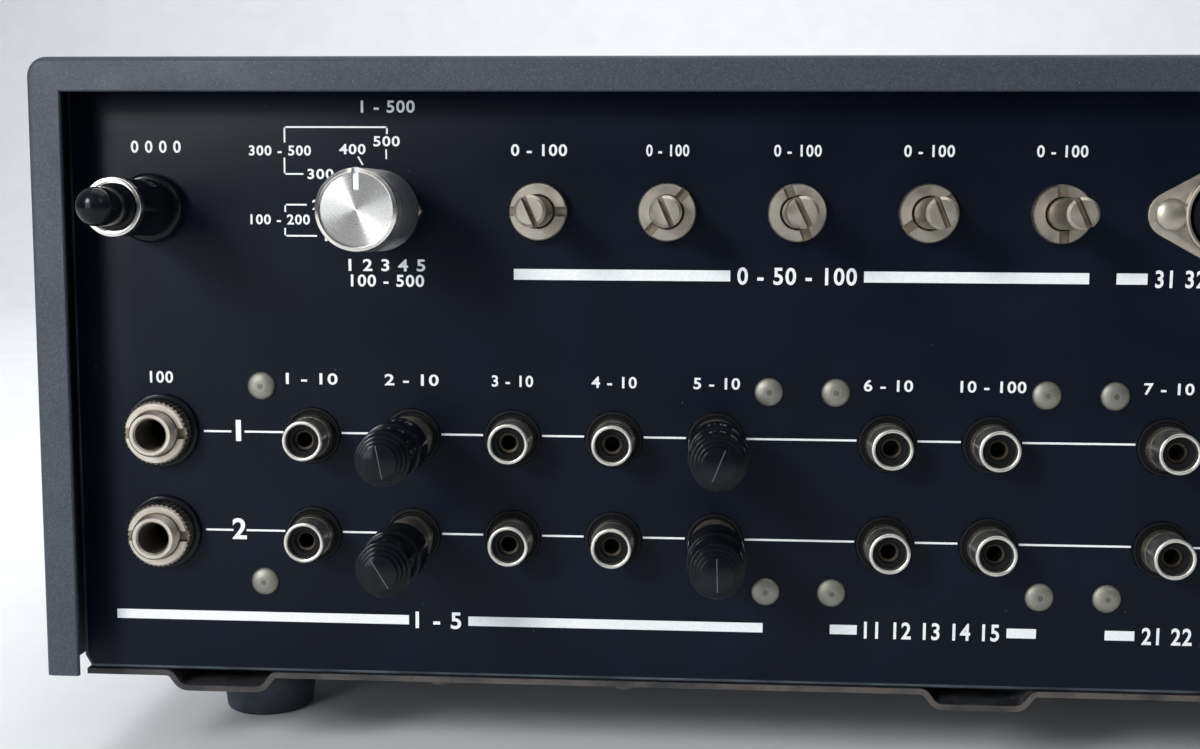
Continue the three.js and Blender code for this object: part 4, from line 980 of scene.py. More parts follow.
def makeJacks():
    s = jackMaker
    mouth, start = s["mouth"], s["start"]
    lip = (s["barrel"] - mouth) / 2
    profile = [(mouth, start), (s["barrel"], start)]
    profile += arc((mouth + lip, s["reach"] - lip), (lip, lip), 0, 180, s["lipSteps"])
    barrels = copyTo("jack_barrels", turned(profile, closed=True), jackSeats, barrelNickel)
    inner, near, far = s["barrel"] - 0.1 * mm, s["washerHeight"], s["collarReach"]
    profile = [(inner, near), (s["collar"] - 0.3 * mm, near), (s["collar"], near + 0.3 * mm, s["tooth"])]
    profile += [(s["collar"], far - 0.4 * mm, s["tooth"]), (s["barrel"] + 0.02 * mm, far), (inner, far)]
    collar = turned(profile, sides=2 * s["teeth"], closed=True)
    collars = copyTo("jack_collars", collar, jackSeats, agedNickel, largestTurn=0.1, seed=3)
    hole, dish = s["barrel"] - 0.2 * mm, s["washerDish"]
    profile = [(hole, 0.02 * mm), (s["washer"], 0.02 * mm)]
    profile += roundedRim(s["washer"], s["washerHeight"], 0.2 * mm, 2)
    profile += [(dish[0], s["washerHeight"]), (dish[1], dish[2]), (hole, dish[2])]
    washers = copyTo("jack_washers", turned(profile, closed=True), jackSeats, blackMatt)
    face, floor = s["reach"] - s["insulatorDepth"], s["insulatorFloor"]
    outer, hole = mouth + 0.05 * mm, s["contact"]
    profile = [(0, start), (outer, start), (outer, face), (hole + 0.25 * mm, face)]
    profile += [(hole, face - 0.3 * mm), (hole, floor), (0, floor)]
    insulators = copyTo("jack_insulators", turned(profile, sides=32), jackSeats, blackMatt)
    foot, top, outer, bore = floor + 0.1 * mm, face - s["contactDepth"], hole - 0.05 * mm, s["contactBore"]
    profile = [(bore, foot), (outer, foot), (outer, top), (bore, top - 0.15 * mm)]
    contacts = copyTo("jack_contacts", turned(profile, sides=24, closed=True), jackSeats, tarnish)
    for piece in (collars, washers, insulators, contacts):
        settle(piece)
    strips = [f"{name}_jack_strip" for name in ("input", "tape_one", "tape_two", "output")]
    settle(barrels, standsFor=strips)


# Boards that carry the jacks, behind the panel, with their solder tags
boardMaker = {
    "thickness": 2 * mm,
    "behind": 1.75 * mm,
    "margin": 15.5 * mm,
    "tagRadius": 2.2 * mm,
    "tagLength": 5 * mm,
    "tagPin": 1.0 * mm,
}


def makeJackBoards():
    s = boardMaker
    margin = s["margin"]
    shape = newMesh()
    for first, count in jackBlocks:
        last = first - (count - 1) * jackPitch
        low = (last - margin, rearY - s["behind"] - s["thickness"], lowerZ - margin)
        addBlock(shape, low, (first + margin, rearY - s["behind"], upperZ + margin))
    settle(makeObject("jack_boards", shape, [laminate]))
    back, pin, radius = -s["behind"] - s["thickness"], s["tagPin"], s["tagRadius"]
    profile = [(0, back - s["tagLength"]), (pin, back - s["tagLength"]), (pin + 0.2 * mm, back - 1 * mm)]
    tag = turned(profile + [(radius, back - 0.6 * mm), (radius, back), (0, back)], sides=16)
    settle(copyTo("jack_tags", tag, jackSeats, agedNickel))


# Rivets: low domes with a small dimple
rivetMaker = {
    "radius": 2.9 * mm,
    "edge": 0.15 * mm,
    "dome": 1.15 * mm,
    "domeSteps": 8,
    "dimple": 1.15 * mm,
    "offsetX": 10.5 * mm,
    "offsetZ": 10.2 * mm,
}


def makeRivets():
    s = rivetMaker
    seats = []
    for first, count in jackBlocks:
        last = first - (count - 1) * jackPitch
        for x in (first + s["offsetX"], last - s["offsetX"]):
            seats += [(x, rearY, z) for z in (upperZ + s["offsetZ"], lowerZ - s["offsetZ"])]
    radius, edge, rise, dimple = s["radius"], s["edge"], s["dome"], s["dimple"]
    profile = [(0, 0.02 * mm), (radius - 0.1 * mm, 0.02 * mm)]
    profile += arc((0, edge), (radius, rise), 0, 90, s["domeSteps"])[:-1]
    profile += [(dimple, rise + 0.1 * mm), (dimple * 0.55, rise + 0.05 * mm), (0, rise + 0.03 * mm)]
    dome = turned(profile, sides=40)
    settle(copyTo("panel_rivets", dome, seats, rivetNickel, largestTurn=3.0, seed=5))
    # a darker disc in each dimple: painted shade in the hollow
    profile = [(0, rise), (dimple * 0.75, rise), (dimple * 0.55, rise + 0.06 * mm), (0, rise + 0.04 * mm)]
    dimpleShade = turned(profile, sides=24)
    settle(copyTo("rivet_dimples", dimpleShade, seats, rivetDimpleShade, largestTurn=3.0, seed=6))


makeJacks()
makeJackBoards()
makeRivets()
print("jacks and rivets made")


# Shorting caps: shell over the jack, skirt, body and steps, with a mould line across the face
capMaker = {
    "seatDrop": 0.9 * mm,  # from the solid's rim to the panel, for a cap pushed home
    "shell": 4.85 * mm,
    "shellWall": 0.3 * mm,
    "shellStart": 0.95 * mm,
    "skirtStart": 10 * mm,
    "skirtEnd": 18.2 * mm,
    "skirt": 5.8 * mm,
    "body": 5.3 * mm,
    "bodyLength": 7.3 * mm,
    "stepCount": 3,
    "stepHeight": 1.1 * mm,
    "stepWidth": 0.65 * mm,
    "soft": 0.2 * mm,
    "lineWidth": 0.17 * mm,
    "lineHeight": 0.07 * mm,
    "lineTurns": {"1_upper": 11, "1_lower": 32, "4_upper": -22, "4_lower": 2},
}


def makeCap(name):
    s = capMaker
    solid, body = f"shorting_cap_{name}", f"cap_{name}"
    seat = seatOn(solid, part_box(solid)[0].y - s["seatDrop"])  # some caps stand out from their jacks
    radius, start, end, soft = s["shell"], s["shellStart"], s["skirtStart"] + 0.5 * mm, s["soft"]
    bore = radius - s["shellWall"]
    profile = [(bore, start), (radius - 0.1 * mm, start), (radius, start + 0.15 * mm)]
    shell = turned(profile + [(radius, end), (bore, end)], seat, closed=True)
    start, height = s["skirtStart"], s["skirtEnd"] + s["bodyLength"]
    profile = [(0, start), (s["skirt"] - soft, start), (s["skirt"], start + soft)]
    profile += softCorner(s["skirt"], s["skirtEnd"], soft) + [(s["body"], s["skirtEnd"] + 0.05 * mm)]
    radius = s["body"]
    for i in range(s["stepCount"]):
        profile += softCorner(radius, height, soft) + [(radius - s["stepWidth"], height + 0.03 * mm)]
        radius -= s["stepWidth"]
        height += s["stepHeight"]
    moulding = turned(profile + softCorner(radius, height, soft) + [(0, height)], seat, 64)
    half = Vector((radius - soft, s["lineHeight"], s["lineWidth"] / 2))
    face = Vector((seat[0], seat[1] + height, seat[2]))
    ridge = makeObject(f"{body}_mould_line", block(face - half, face + half), [mouldFlash])
    turnPiece(ridge, math.radians(90 + s["lineTurns"][name]), seat)
    settle(makeObject(f"{body}_shell", shell, [agedNickel]), body)
    settle(ridge, body)
    settle(makeObject(f"{body}_moulding", moulding, [blackGloss]), body, [solid])


for capName in capMaker["lineTurns"]:
    makeCap(capName)
print("shorting caps made")


# Ground post: flanged base, plated clamp ring and domed thumb knob on a stud
postMaker = {
    "flange": 7.05 * mm,
    "flangeHeight": 3 * mm,
    "body": 5.6 * mm,
    "stud": 1.9 * mm,
    "studReach": 25 * mm,
    "studInside": 9 * mm,
    "nut": (5 * mm, 4.75 * mm, 1.75 * mm),  # radius, and its two faces behind the panel
    "ringWall": 0.8 * mm,
    "bore": 2.2 * mm,
    "knob": 3.7 * mm,
    "dome": 3 * mm,
    "domeSteps": 8,
}


def makeGroundPost():
    s = postMaker
    seat = seatOn("ground_post_base", rearY)
    ringLow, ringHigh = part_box("ground_clamp_ring")
    knobLow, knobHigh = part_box("ground_thumb_knob")
    start, end = ringLow.y - rearY, ringHigh.y - rearY
    flange, body, bodyTop, bore = s["flange"], s["body"], start - 0.3 * mm, s["bore"]
    profile = [(0, 0.1 * mm), (flange - 0.3 * mm, 0.1 * mm), (flange, 0.5 * mm)]
    profile += roundedRim(flange, s["flangeHeight"], 1.1 * mm, 5) + [(body + 0.2 * mm, s["flangeHeight"])]
    profile += [(body, s["flangeHeight"] + 0.3 * mm)] + softCorner(body, bodyTop, 0.3 * mm) + [(0, bodyTop)]
    base = makeObject("ground_base_moulding", turned(profile, seat, 64), [blackGloss])
    settle(base, standsFor=["ground_post_base"])
    radius, inside, reach = s["stud"], -s["studInside"], s["studReach"]
    stud = turned([(0, inside), (radius, inside), (radius, reach), (0, reach)], seat, 24)
    nut, back, front = s["nut"]
    addTurned(stud, [(radius, -back), (nut, -back), (nut, -front), (radius, -front)], seat, 6, closed=True)
    settle(makeObject("ground_stud", stud, [agedNickel]))
    radius = (ringHigh.x - ringLow.x) / 2
    lip = radius - s["ringWall"]
    profile = [(bore, start), (radius - 0.2 * mm, start), (radius, start + 0.25 * mm)]
    profile += roundedRim(radius, end, 0.3 * mm, 3)
    profile += [(lip, end), (lip, start + 0.7 * mm), (bore, start + 0.7 * mm)]
    ring = makeObject("ground_ring_plated", turned(profile, seat, 64, closed=True), [brightNickel])
    settle(ring, "ground_ring", ["ground_clamp_ring"])
    start, top, floor = knobLow.y - rearY, knobHigh.y - rearY, s["studReach"] + 0.3 * mm
    skirt = lip - 0.3 * mm
    profile = [(0, floor), (bore, floor), (bore, start), (skirt, start)]
    profile += softCorner(skirt, end - 0.3 * mm, 0.3 * mm) + [(s["knob"], end - 0.1 * mm)]
    profile += arc((0, top - s["dome"]), (s["knob"], s["dome"]), 0, 90, s["domeSteps"])
    knob = makeObject("ground_knob_moulding", turned(profile, seat, 56), [blackGloss])
    settle(knob, "ground_grip", ["ground_thumb_knob"])


makeGroundPost()


# Impedance control: turned knob with a pointer slot
rearKnob = {
    "back": 8 * mm,
    "front": 7.75 * mm,
    "rim": 0.9 * mm,
    "dish": 0.45 * mm,
    "slotWidth": 1.3 * mm,
    "slotLength": 4.2 * mm,
    "slotDepth": 0.9 * mm,
    "pointerInset": 0.12 * mm,
    "bore": 3.3 * mm,
    "boreDepth": 15 * mm,
    "shaft": 3 * mm,
    "switch": 15 * mm,
    "switchFront": -1.75 * mm,
    "bush": 4.5 * mm,
    "bushStart": -8 * mm,
    "bushReach": 6.4 * mm,
    "nut": 7.4 * mm,
    "nutHeight": 2.55 * mm,
}


def makeRearKnob():
    s = rearKnob
    low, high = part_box("impedance_knob")
    seat = ((low.x + high.x) / 2, rearY, controlZ)
    start, top = low.y - rearY, high.y - rearY
    back, front, bore, depth = s["back"], s["front"] + 0.02 * mm, s["bore"], start + s["boreDepth"]
    inner, floor = s["front"] - s["rim"], top - s["dish"]
    side = [(bore, start), (back - 0.3 * mm, start), (back, start + 0.3 * mm), (front, top - 0.75 * mm)]
    rim = [side[-1], (s["front"] - 0.1 * mm, top - 0.45 * mm), (inner + 0.15 * mm, top)]
    rim += [(inner, top - 0.05 * mm), (inner, floor)]
    shape = newMesh()
    for material, profile in enumerate(([(0, depth), (bore, depth), *side], rim, [rim[-1], (0, floor)])):
        addTurned(shape, profile, seat, 96, material)
    spun = makeSpunAluminium("rear_knob_spun", (seat[0], 0, seat[2]), 1)
    knob = makeObject("impedance_knob_turned", shape, [satinAluminium, brightNickel, spun], 25)
    half, y, z = s["slotWidth"] / 2, rearY + top - s["slotDepth"], controlZ + s["front"] - s["slotLength"]
    over, inset = 1 * mm, s["pointerInset"]
    cut(knob, block((seat[0] - half, y, z), (seat[0] + half, rearY + top + over, controlZ + back + over)), 25)
    settle(knob, "impedance_control", ["impedance_knob"])
    fill = block(
        (seat[0] - half + inset, y - 0.1 * mm, z + inset),
        (seat[0] + half - inset, y + 0.22 * mm, controlZ + inner - 0.2 * mm),
    )
    settle(makeObject("impedance_knob_pointer", fill, [printInk]), "impedance_control")
    near, far = (end.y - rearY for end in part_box("impedance_shaft"))
    shaft = turned([(0, near), (s["shaft"], near), (s["shaft"], far), (0, far)], seat, 32)
    bar = makeObject("impedance_shaft_turned", shaft, [agedNickel])
    settle(bar, "impedance_control", ["impedance_shaft"])
    near, far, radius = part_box("impedance_switch")[0].y - rearY, s["switchFront"], s["switch"]
    profile = [(0, near), (radius - 0.5 * mm, near), (radius, near + 0.5 * mm), (radius, far), (0, far)]
    body = turned(profile, seat, 48)
    near, far, radius = s["bushStart"], s["bushReach"], s["bush"]
    profile = [(bore, near), (radius, near), (radius, far - 0.2 * mm), (radius - 0.3 * mm, far), (bore, far)]
    addTurned(body, profile, seat, 32, closed=True)
    near, far, wide = 0.15 * mm, s["nutHeight"], s["nut"]
    profile = [(radius, near), (wide, near), (wide, far - 0.35 * mm), (wide - 0.4 * mm, far), (radius, far)]
    addTurned(body, profile, seat, 6, closed=True)
    switch = makeObject("impedance_switch_body", body, [agedNickel])
    settle(switch, standsFor=["impedance_switch"])


makeRearKnob()
print("ground post and impedance control made")


# Level controls: knurled nuts with two slots, slotted shafts
levelMaker = {
    "nut": 5.85 * mm,
    "nutHeight": 2.6 * mm,
    "nutEdge": 0.3 * mm,
    "teeth": 64,
    "tooth": 0.16 * mm,
    "bore": 3.4 * mm,
    "slotWidth": 1.9 * mm,
    "slotDepth": 1.0 * mm,
    "shaft": 3.05 * mm,
    "shaftNeck": 2.88 * mm,  # up to just past the panel
    "shaftReach": 17.5 * mm,
    "chamfer": 0.55 * mm,
    "shaftSlot": 1.1 * mm,
    "shaftSlotDepth": 1.7 * mm,
    "nutTurns": (90, -42, 22, -55, 4),
    "shaftTurns": (24, 24, 26, 22, 25),
}


def cutSlot(piece, seat, width, depth, top, turn):
    # a slot across a turned piece's outer end, with a darker floor: dirt with painted shade in the slot, then
    # the piece is turned
    half = Vector((width / 2, 0, 8 * mm))
    floor, above = (Vector((seat[0], rearY + y, seat[2])) for y in (top - depth, top + 2.5 * mm))
    cut(piece, block(floor - half, above + half), 25, dirtAndShadeNickel)
    turnPiece(piece, math.radians(turn), seat)


def makeLevelControl(i, x):
    s = levelMaker
    seat = (x, rearY, controlZ)
    start, end, edge, nut, bore = 0.1 * mm, s["nutHeight"], s["nutEdge"], s["nut"], s["bore"]
    tooth = s["tooth"]
    profile = [(bore, start), (nut - edge, start), (nut, start + edge, tooth), (nut, end - edge, tooth)]
    profile += [(nut - edge, end), (bore + 0.15 * mm, end), (bore, end - 0.15 * mm)]
    shape = turned(profile, seat, 2 * s["teeth"], closed=True)
    piece = makeObject(f"level_nut_{i}_knurled", shape, [agedNickel], 25)
    cutSlot(piece, seat, s["slotWidth"], s["slotDepth"], end, s["nutTurns"][i - 1])
    settle(piece, standsFor=[f"level_nut_{i}"])
    start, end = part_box(f"level_shaft_{i}")[0].y - rearY, s["shaftReach"]
    neck, shaft, chamfer = s["shaftNeck"], s["shaft"], s["chamfer"]
    profile = [(0, start), (neck, start), (neck, 1 * mm), (shaft, 1 * mm)]
    profile += [(shaft, end - chamfer), (shaft - chamfer, end), (0, end)]
    bar = makeObject(f"level_shaft_{i}_turned", turned(profile, seat, 40), [agedNickel], 25)
    cutSlot(bar, seat, s["shaftSlot"], s["shaftSlotDepth"], end, s["shaftTurns"][i - 1])
    settle(bar, f"level_control_{i}", [f"level_shaft_{i}"])


for index, column in enumerate(levelColumns, 1):
    makeLevelControl(index, column)
refinish("level_control_board", circuitGreen)


# Quarter inch jacks: black washer, coarse knurled nut with two slots, threaded bush
micMaker = {
    "washer": 7.75 * mm,
    "washerHeight": 1.1 * mm,
    "washerDish": (6.95 * mm, 6.85 * mm, 0.85 * mm),  # two radii and the height of its floor
    "nut": 6.6 * mm,
    "nutStart": 0.9 * mm,
    "nutHeight": 4.7 * mm,
    "nutEdge": 0.35 * mm,
    "teeth": 40,
    "tooth": 0.3 * mm,
    "bush": 4.6 * mm,
    "bushStart": -3 * mm,
    "bore": 3.2 * mm,
    "boreWall": 0.6 * mm,
    "thread": 0.5 * mm,  # pitch
    "slotWidth": 2.2 * mm,
    "slotDepth": 1.0 * mm,
    "body": 9 * mm,
    "bodyFront": -2 * mm,
    "bodyFloor": -23 * mm,
}
micReach = 7.3 * mm
phonesReach = 6.3 * mm


def makeQuarterJack(name, seat, facing, reach, jackNode, nutNodes):
    s = micMaker
    bush, bore, inside = s["bush"], s["bore"], s["bore"] + s["boreWall"]
    hole, dish = bush + 0.1 * mm, s["washerDish"]
    profile = [(hole, 0.1 * mm), (s["washer"], 0.1 * mm)]
    profile += roundedRim(s["washer"], s["washerHeight"], 0.35 * mm, 3)
    profile += [(dish[0], s["washerHeight"]), (dish[1], dish[2]), (hole, dish[2])]
    washer = turned(profile, seat, 64, facing=facing, closed=True)
    settle(makeObject(f"{name}_washer", washer, [blackGloss]))
    start, top, nut, edge, tooth = (s[key] for key in ("nutStart", "nutHeight", "nut", "nutEdge", "tooth"))
    profile = [(bush, start), (nut - edge, start), (nut, start + edge, tooth), (nut, top - edge, tooth)]
    profile += [(nut - 0.5 * mm, top), (bush + 0.35 * mm, top), (bush, top - 0.3 * mm)]
    shape = turned(profile, seat, 2 * s["teeth"], facing=facing, closed=True)
    ring = makeObject(f"{name}_nut_knurled", shape, [agedNickel], 25)
    half = s["slotWidth"] / 2
    near, far = sorted(seat[1] + facing * y for y in (top - s["slotDepth"], top + 2 * mm))
    cutter = block((seat[0] - 9 * mm, near, seat[2] - half), (seat[0] + 9 * mm, far, seat[2] + half))
    # the slot's walls take the darker nickel: dirt with painted shade
    cut(ring, cutter, 25, dirtAndShadeNickel)
    settle(ring, standsFor=nutNodes)
    start, crest = s["bushStart"], bush - 0.02 * mm
    profile = [(inside, start), (bush - 0.25 * mm, start)]
    for i in range(1, math.ceil((reach - 1.0 * mm) / s["thread"])):
        height = i * s["thread"]
        profile += [(crest, height), (bush - 0.22 * mm, height + s["thread"] / 2)]
    profile += [(crest, reach - 0.5 * mm), (bush - 0.4 * mm, reach), (bore + 0.35 * mm, reach)]
    profile += [(bore, reach - 0.4 * mm), (bore, start)]
    shape = turned(profile, seat, 56, facing=facing, closed=True)
    settle(makeObject(f"{name}_bush", shape, [agedNickel], 30))
    low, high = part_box(jackNode)
    back, front, floor, body = reach - (high.y - low.y), s["bodyFront"], s["bodyFloor"], s["body"]
    profile = [(0, back), (body - 0.5 * mm, back), (body, back + 0.5 * mm), (body, front), (inside, front)]
    shape = turned(profile + [(inside, floor), (0, floor)], seat, 40, facing=facing)
    settle(makeObject(f"{name}_body", shape, [blackMatt]), standsFor=[jackNode])


for channel in ("left", "right"):
    micNut, micJack = f"mic_nut_{channel}", f"mic_jack_{channel}"
    makeQuarterJack(f"mic_{channel}", seatOn(micNut, rearY), 1, micReach, micJack, [micNut])
print("level controls and microphone jacks made")


# DIN socket: diamond flange, rolled lip and insulator with five holes
dinMaker = {
    "flange": 10 * mm,
    "ear": 4.6 * mm,
    "earOffset": 11.15 * mm,
    "thickness": 1 * mm,
    "edge": 0.2 * mm,
    "mouth": 7.85 * mm,
    "wall": 1.05 * mm,
    "lip": 1.95 * mm,
    "back": -9 * mm,
    "insert": 6.7 * mm,
    "insertFace": 0.2 * mm,
    "pins": 5,
    "pinCircle": 3.5 * mm,
    "pin": 0.85 * mm,
    "pinDepth": 5 * mm,
    "rivet": 3.2 * mm,
    "rivetDome": 1.3 * mm,
    "arcSteps": 10,
}


def makeDinSocket():
    s = dinMaker
    seat = (centreOf("din_socket").x, rearY, controlZ)
    flange, ear, offset, thickness = s["flange"], s["ear"], s["earOffset"], s["thickness"]
    lean = math.degrees(math.asin((flange - ear) / offset))
    outline = []
    for middle, radius, start, end in (
        (0, flange, 90 - lean, 90 + lean),
        (-offset, ear, 90 + lean, 270 - lean),
        (0, flange, 270 - lean, 270 + lean),
        (offset, ear, 270 + lean, 450 - lean),
    ):
        outline += arc((seat[0] + middle, seat[2]), (radius, radius), start, end, s["arcSteps"])
    shape = newMesh()
    addPrism(shape, *([(x, rearY + y, z) for x, z in outline] for y in (0.1 * mm, thickness)))
    plate = makeObject("din_flange", shape, [agedNickel], 25)
    mouth, back, lip = s["mouth"], s["back"], s["lip"]
    cut(plate, turned([(0, -2 * mm), (mouth, -2 * mm), (mouth, 4 * mm), (0, 4 * mm)], seat, 64), 25)
    bevel = plate.modifiers.new("edge", "BEVEL")
    bevel.width = s["edge"]
    bevel.segments = 2
    bevel.limit_method = "ANGLE"
    bevel.angle_limit = math.radians(50)
    bake(plate, 30)
    settle(plate, standsFor=["din_socket"])
    outer = mouth + s["wall"]
    profile = [(mouth - 0.02 * mm, back), (outer, back), (outer, lip - 0.5 * mm)]
    profile += [(outer - 0.2 * mm, lip - 0.1 * mm), (outer - 0.5 * mm, lip)]
    profile.append((mouth + 0.05 * mm, lip - 0.25 * mm))
    shell = turned(profile, seat, 64, closed=True)
    foot = thickness - 0.3 * mm
    dome = [(0, foot), (s["rivet"], foot)] + arc((0, thickness), (s["rivet"], s["rivetDome"]), 0, 90, 5)
    for side in (-1, 1):
        addTurned(shell, dome, (seat[0] + side * offset, rearY, seat[2]), 40)
    settle(makeObject("din_shell", shell, [agedNickel], 30))
    insert, face, step = s["insert"], s["insertFace"], back + 1 * mm
    profile = [(0, back), (mouth, back), (mouth, step), (insert, step), (insert, face), (0, face)]
    core = makeObject("din_insert", turned(profile, seat, 56), [blackMatt], 30)
    pins, pin, depth, over = newMesh(), s["pin"], -s["pinDepth"], 1 * mm
    for x, z in arc((seat[0], seat[2]), (s["pinCircle"], s["pinCircle"]), 180, 360, s["pins"] - 1):
        addTurned(pins, [(0, depth), (pin, depth), (pin, over), (0, over)], (x, rearY, z), 20)
    cut(core, pins, 30)
    settle(core)


makeDinSocket()


# Mains outlets and inlet
outletMaker = {
    "pitch": 28 * mm,
    "count": 3,
    "window": (18 * mm, 15 * mm),
    "frame": 0.9 * mm,
    "frameHeight": 0.35 * mm,
    "edge": 0.25 * mm,
    "inletEdge": 0.3 * mm,
    "screw": (1.9 * mm, 1.0 * mm, 0.5 * mm),  # radius, height, slot
    "screwInset": (2.6 * mm, 2.1 * mm),  # outlets, inlet
}


def addFrame(shape, middle, size, wall, low, high, corner=0.0):
    # four bars round a window, from one Y to another; the upper and lower reach past it by the corner
    w, h = size[0] / 2, size[1] / 2
    bars = [(-w - corner, w + corner, z, z + wall) for z in (h, -h - wall)]
    bars += [(x, x + wall, -h, h) for x in (-w - wall, w)]
    for x0, x1, z0, z1 in bars:
        addBlock(shape, (middle.x + x0, low, middle.z + z0), (middle.x + x1, high, middle.z + z1))


def screwHead(radius, height, slotWidth):
    # low domed head with one slot, at the origin
    dome = arc((0, 0.25 * height), (radius, 0.75 * height), 0, 90, 5)[:-1]
    shape = turned([(0, 0), (radius, 0)] + dome + [(0, height)], sides=28)
    head = makeObject("screw_head", shape, [agedNickel], 30)
    wide, half = radius * 1.5, slotWidth / 2
    cut(head, block((-wide, height * 0.45, -half), (wide, height * 2, half)), 30)
    result = newMesh(head.data)
    bpy.data.objects.remove(head)
    return result


def makeOutlets():
    s = outletMaker
    settle(dress("outlet_strip", blackMatt, s["edge"]), standsFor=["outlet_strip"])
    middle, face = centreOf("outlet_strip"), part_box("outlet_strip")[1].y
    frames = newMesh()
    for i in range(s["count"]):
        place = middle + Vector(((i - (s["count"] - 1) / 2) * s["pitch"], 0, 0))
        addFrame(frames, place, s["window"], s["frame"], face - 0.2 * mm, face + s["frameHeight"])
    settle(makeObject("outlet_frames", frames, [blackGloss]))
    settle(dress("mains_inlet", blackGloss, s["inletEdge"]), standsFor=["mains_inlet"])
    seats = []
    for node, inset in zip(("outlet_strip", "mains_inlet"), s["screwInset"]):
        low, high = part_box(node)
        seats += [(x, high.y, (low.z + high.z) / 2) for x in (low.x + inset, high.x - inset)]
    head = screwHead(*s["screw"])
    settle(copyTo("panel_screws", head, seats, agedNickel, largestTurn=3.0, seed=8))


makeOutlets()
print("sockets made")


# Feet: turned rubber with a rounded base and a seat for the screw
footMaker = {
    "radius": 12.2 * mm,
    "taper": 2 * mm,
    "round": 1.1 * mm,
    "roundSteps": 4,
    "recess": 4.2 * mm,
    "recessDepth": 3 * mm,
}


def makeFoot(node):
    s = footMaker
    low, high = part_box(node)
    height, base, bend = high.z - low.z, s["radius"] - s["taper"] - s["round"], s["round"]
    profile = [(0, s["recessDepth"]), (s["recess"], s["recessDepth"]), (s["recess"], 0.3 * mm)]
    profile += [(s["recess"] + 0.3 * mm, 0)] + arc((base, bend), (bend, bend), -90, 0, s["roundSteps"])
    profile += [(s["radius"], height - 0.6 * mm), (s["radius"] - 0.4 * mm, height), (0, height)]
    foot = makeObject(f"{node}_moulded", turned(profile, sides=64), [footRubber], 30)
    place = Matrix.Translation(((low.x + high.x) / 2, (low.y + high.y) / 2, low.z))
    foot.data.transform(place @ Matrix.Rotation(math.pi / 2, 4, "X"))
    settle(foot, standsFor=[node])


for footNode in ("front_left_foot", "front_right_foot", "rear_left_foot", "rear_right_foot"):
    makeFoot(footNode)


# Small screws: under the rear edge, and along the cover's sides
smallScrews = {
    "plate": (2.6 * mm, 1.3 * mm, 0.6 * mm),  # radius, height, slot
    "plateAcross": (26 * mm, 65 * mm, 195 * mm, 234 * mm),  # from the first jack column
    "plateInset": 3 * mm,
    "plateSheet": 1.2 * mm,
    "cover": (3.6 * mm, 1.5 * mm, 0.8 * mm),
    "coverAlong": (24 * mm, 136 * mm, 248 * mm),
    "coverRise": 11 * mm,
}


def makeSmallScrews():
    s = smallScrews
    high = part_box("bottom_plate")[1]
    seats = [(firstJackX - u, high.y - s["plateInset"], high.z - s["plateSheet"]) for u in s["plateAcross"]]
    head = screwHead(*s["plate"])
    head.transform(Matrix.Rotation(-math.pi / 2, 4, "X"))
    settle(copyTo("plate_screws", head, seats, darkPlate))
    low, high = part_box("cover")
    for name, x, side in (("left", low.x, -1), ("right", high.x, 1)):
        seats = [(x, low.y + along, low.z + s["coverRise"]) for along in s["coverAlong"]]
        head = screwHead(*s["cover"])
        head.transform(Matrix.Rotation(-side * math.pi / 2, 4, "Z"))
        settle(copyTo(f"cover_screws_{name}", head, seats, agedNickel))


makeSmallScrews()
print("feet and screws made")


# Front panel, knobs, levers, meters
frontKnobs = {
    "volume": {"sweep": 150, "marks": 11, "flutes": 72},
    "function": {"sweep": 75, "marks": 6, "flutes": 56},
    "bass": {"sweep": 150, "marks": 11, "flutes": 44},
    "treble": {"sweep": 150, "marks": 11, "flutes": 44},
    "balance": {"sweep": 150, "marks": 11, "flutes": 44},
    "mode": {"sweep": 60, "marks": 5, "flutes": 44},
}
knobForm = {
    "shaft": 3 * mm,
    "skirt": 1.0 * mm,  # the gap behind the knob
    "flute": 0.28 * mm,
    "crown": 3.2 * mm,  # depth of the smooth band in front
    "rim": 2.1 * mm,
    "dish": 0.5 * mm,
    "slot": (1.2 * mm, 1.1 * mm, 0.55),  # width, depth, start as a share of the radius
    "pointer": (1.0 * mm, 0.25 * mm, 0.56),
    "rings": 0.16 * mm,
}


def makeFrontKnob(name, s):
    k = knobForm
    node, body = f"{name}_knob", f"{name}_control"
    low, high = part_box(node)
    radius = (high.x - low.x) / 2
    seat = seatOn(node, faceY)
    back, top, skirt, flute = faceY - high.y, faceY - low.y, k["skirt"], k["flute"]
    band, inner, floor = top - k["crown"], radius - k["rim"], top - k["dish"]
    edge, side, neck = radius - 0.6 * mm, radius - 0.05 * mm, radius - 0.35 * mm
    grip = [(0, back), (k["shaft"], back), (k["shaft"], skirt), (edge, skirt)]
    grip += [(radius - 0.2 * mm, skirt + 0.3 * mm), (radius, skirt + 0.8 * mm, flute), (radius, band, flute)]
    grip += [(neck, band + 0.35 * mm), (neck, band + 0.7 * mm)]
    crown = [grip[-1], (side, band + 1.0 * mm), (side, top - 0.8 * mm)]
    crown += [(radius - 0.85 * mm, top), (radius - 1.9 * mm, top), (inner, floor)]
    shape = newMesh()
    for material, profile in enumerate((grip, crown, [crown[-1], (0, floor)])):
        addTurned(shape, profile, seat, 2 * s["flutes"], material, -1)
    spun = makeSpunAluminium(f"{name}_knob_spun", (seat[0], 0, seat[2]), 1, k["rings"])
    knob = makeObject(f"{name}_knob_turned", shape, [satinAluminium, brightNickel, spun], 28)
    width, depth, start = k["slot"]
    over, half, floor = 1 * mm, width / 2, low.y + depth
    near = (seat[0] - half, low.y - over, seat[2] + radius * start)
    cut(knob, block(near, (seat[0] + half, floor, seat[2] + radius + over)), 28)
    settle(knob, body, [node])
    width, depth, start = k["pointer"]
    half, floor = width / 2, floor + 0.05 * mm
    near = (seat[0] - half, floor - depth, seat[2] + radius * start)
    mark = block(near, (seat[0] + half, floor, seat[2] + radius - over))
    settle(makeObject(f"{name}_knob_pointer", mark, [markBlack]), body)


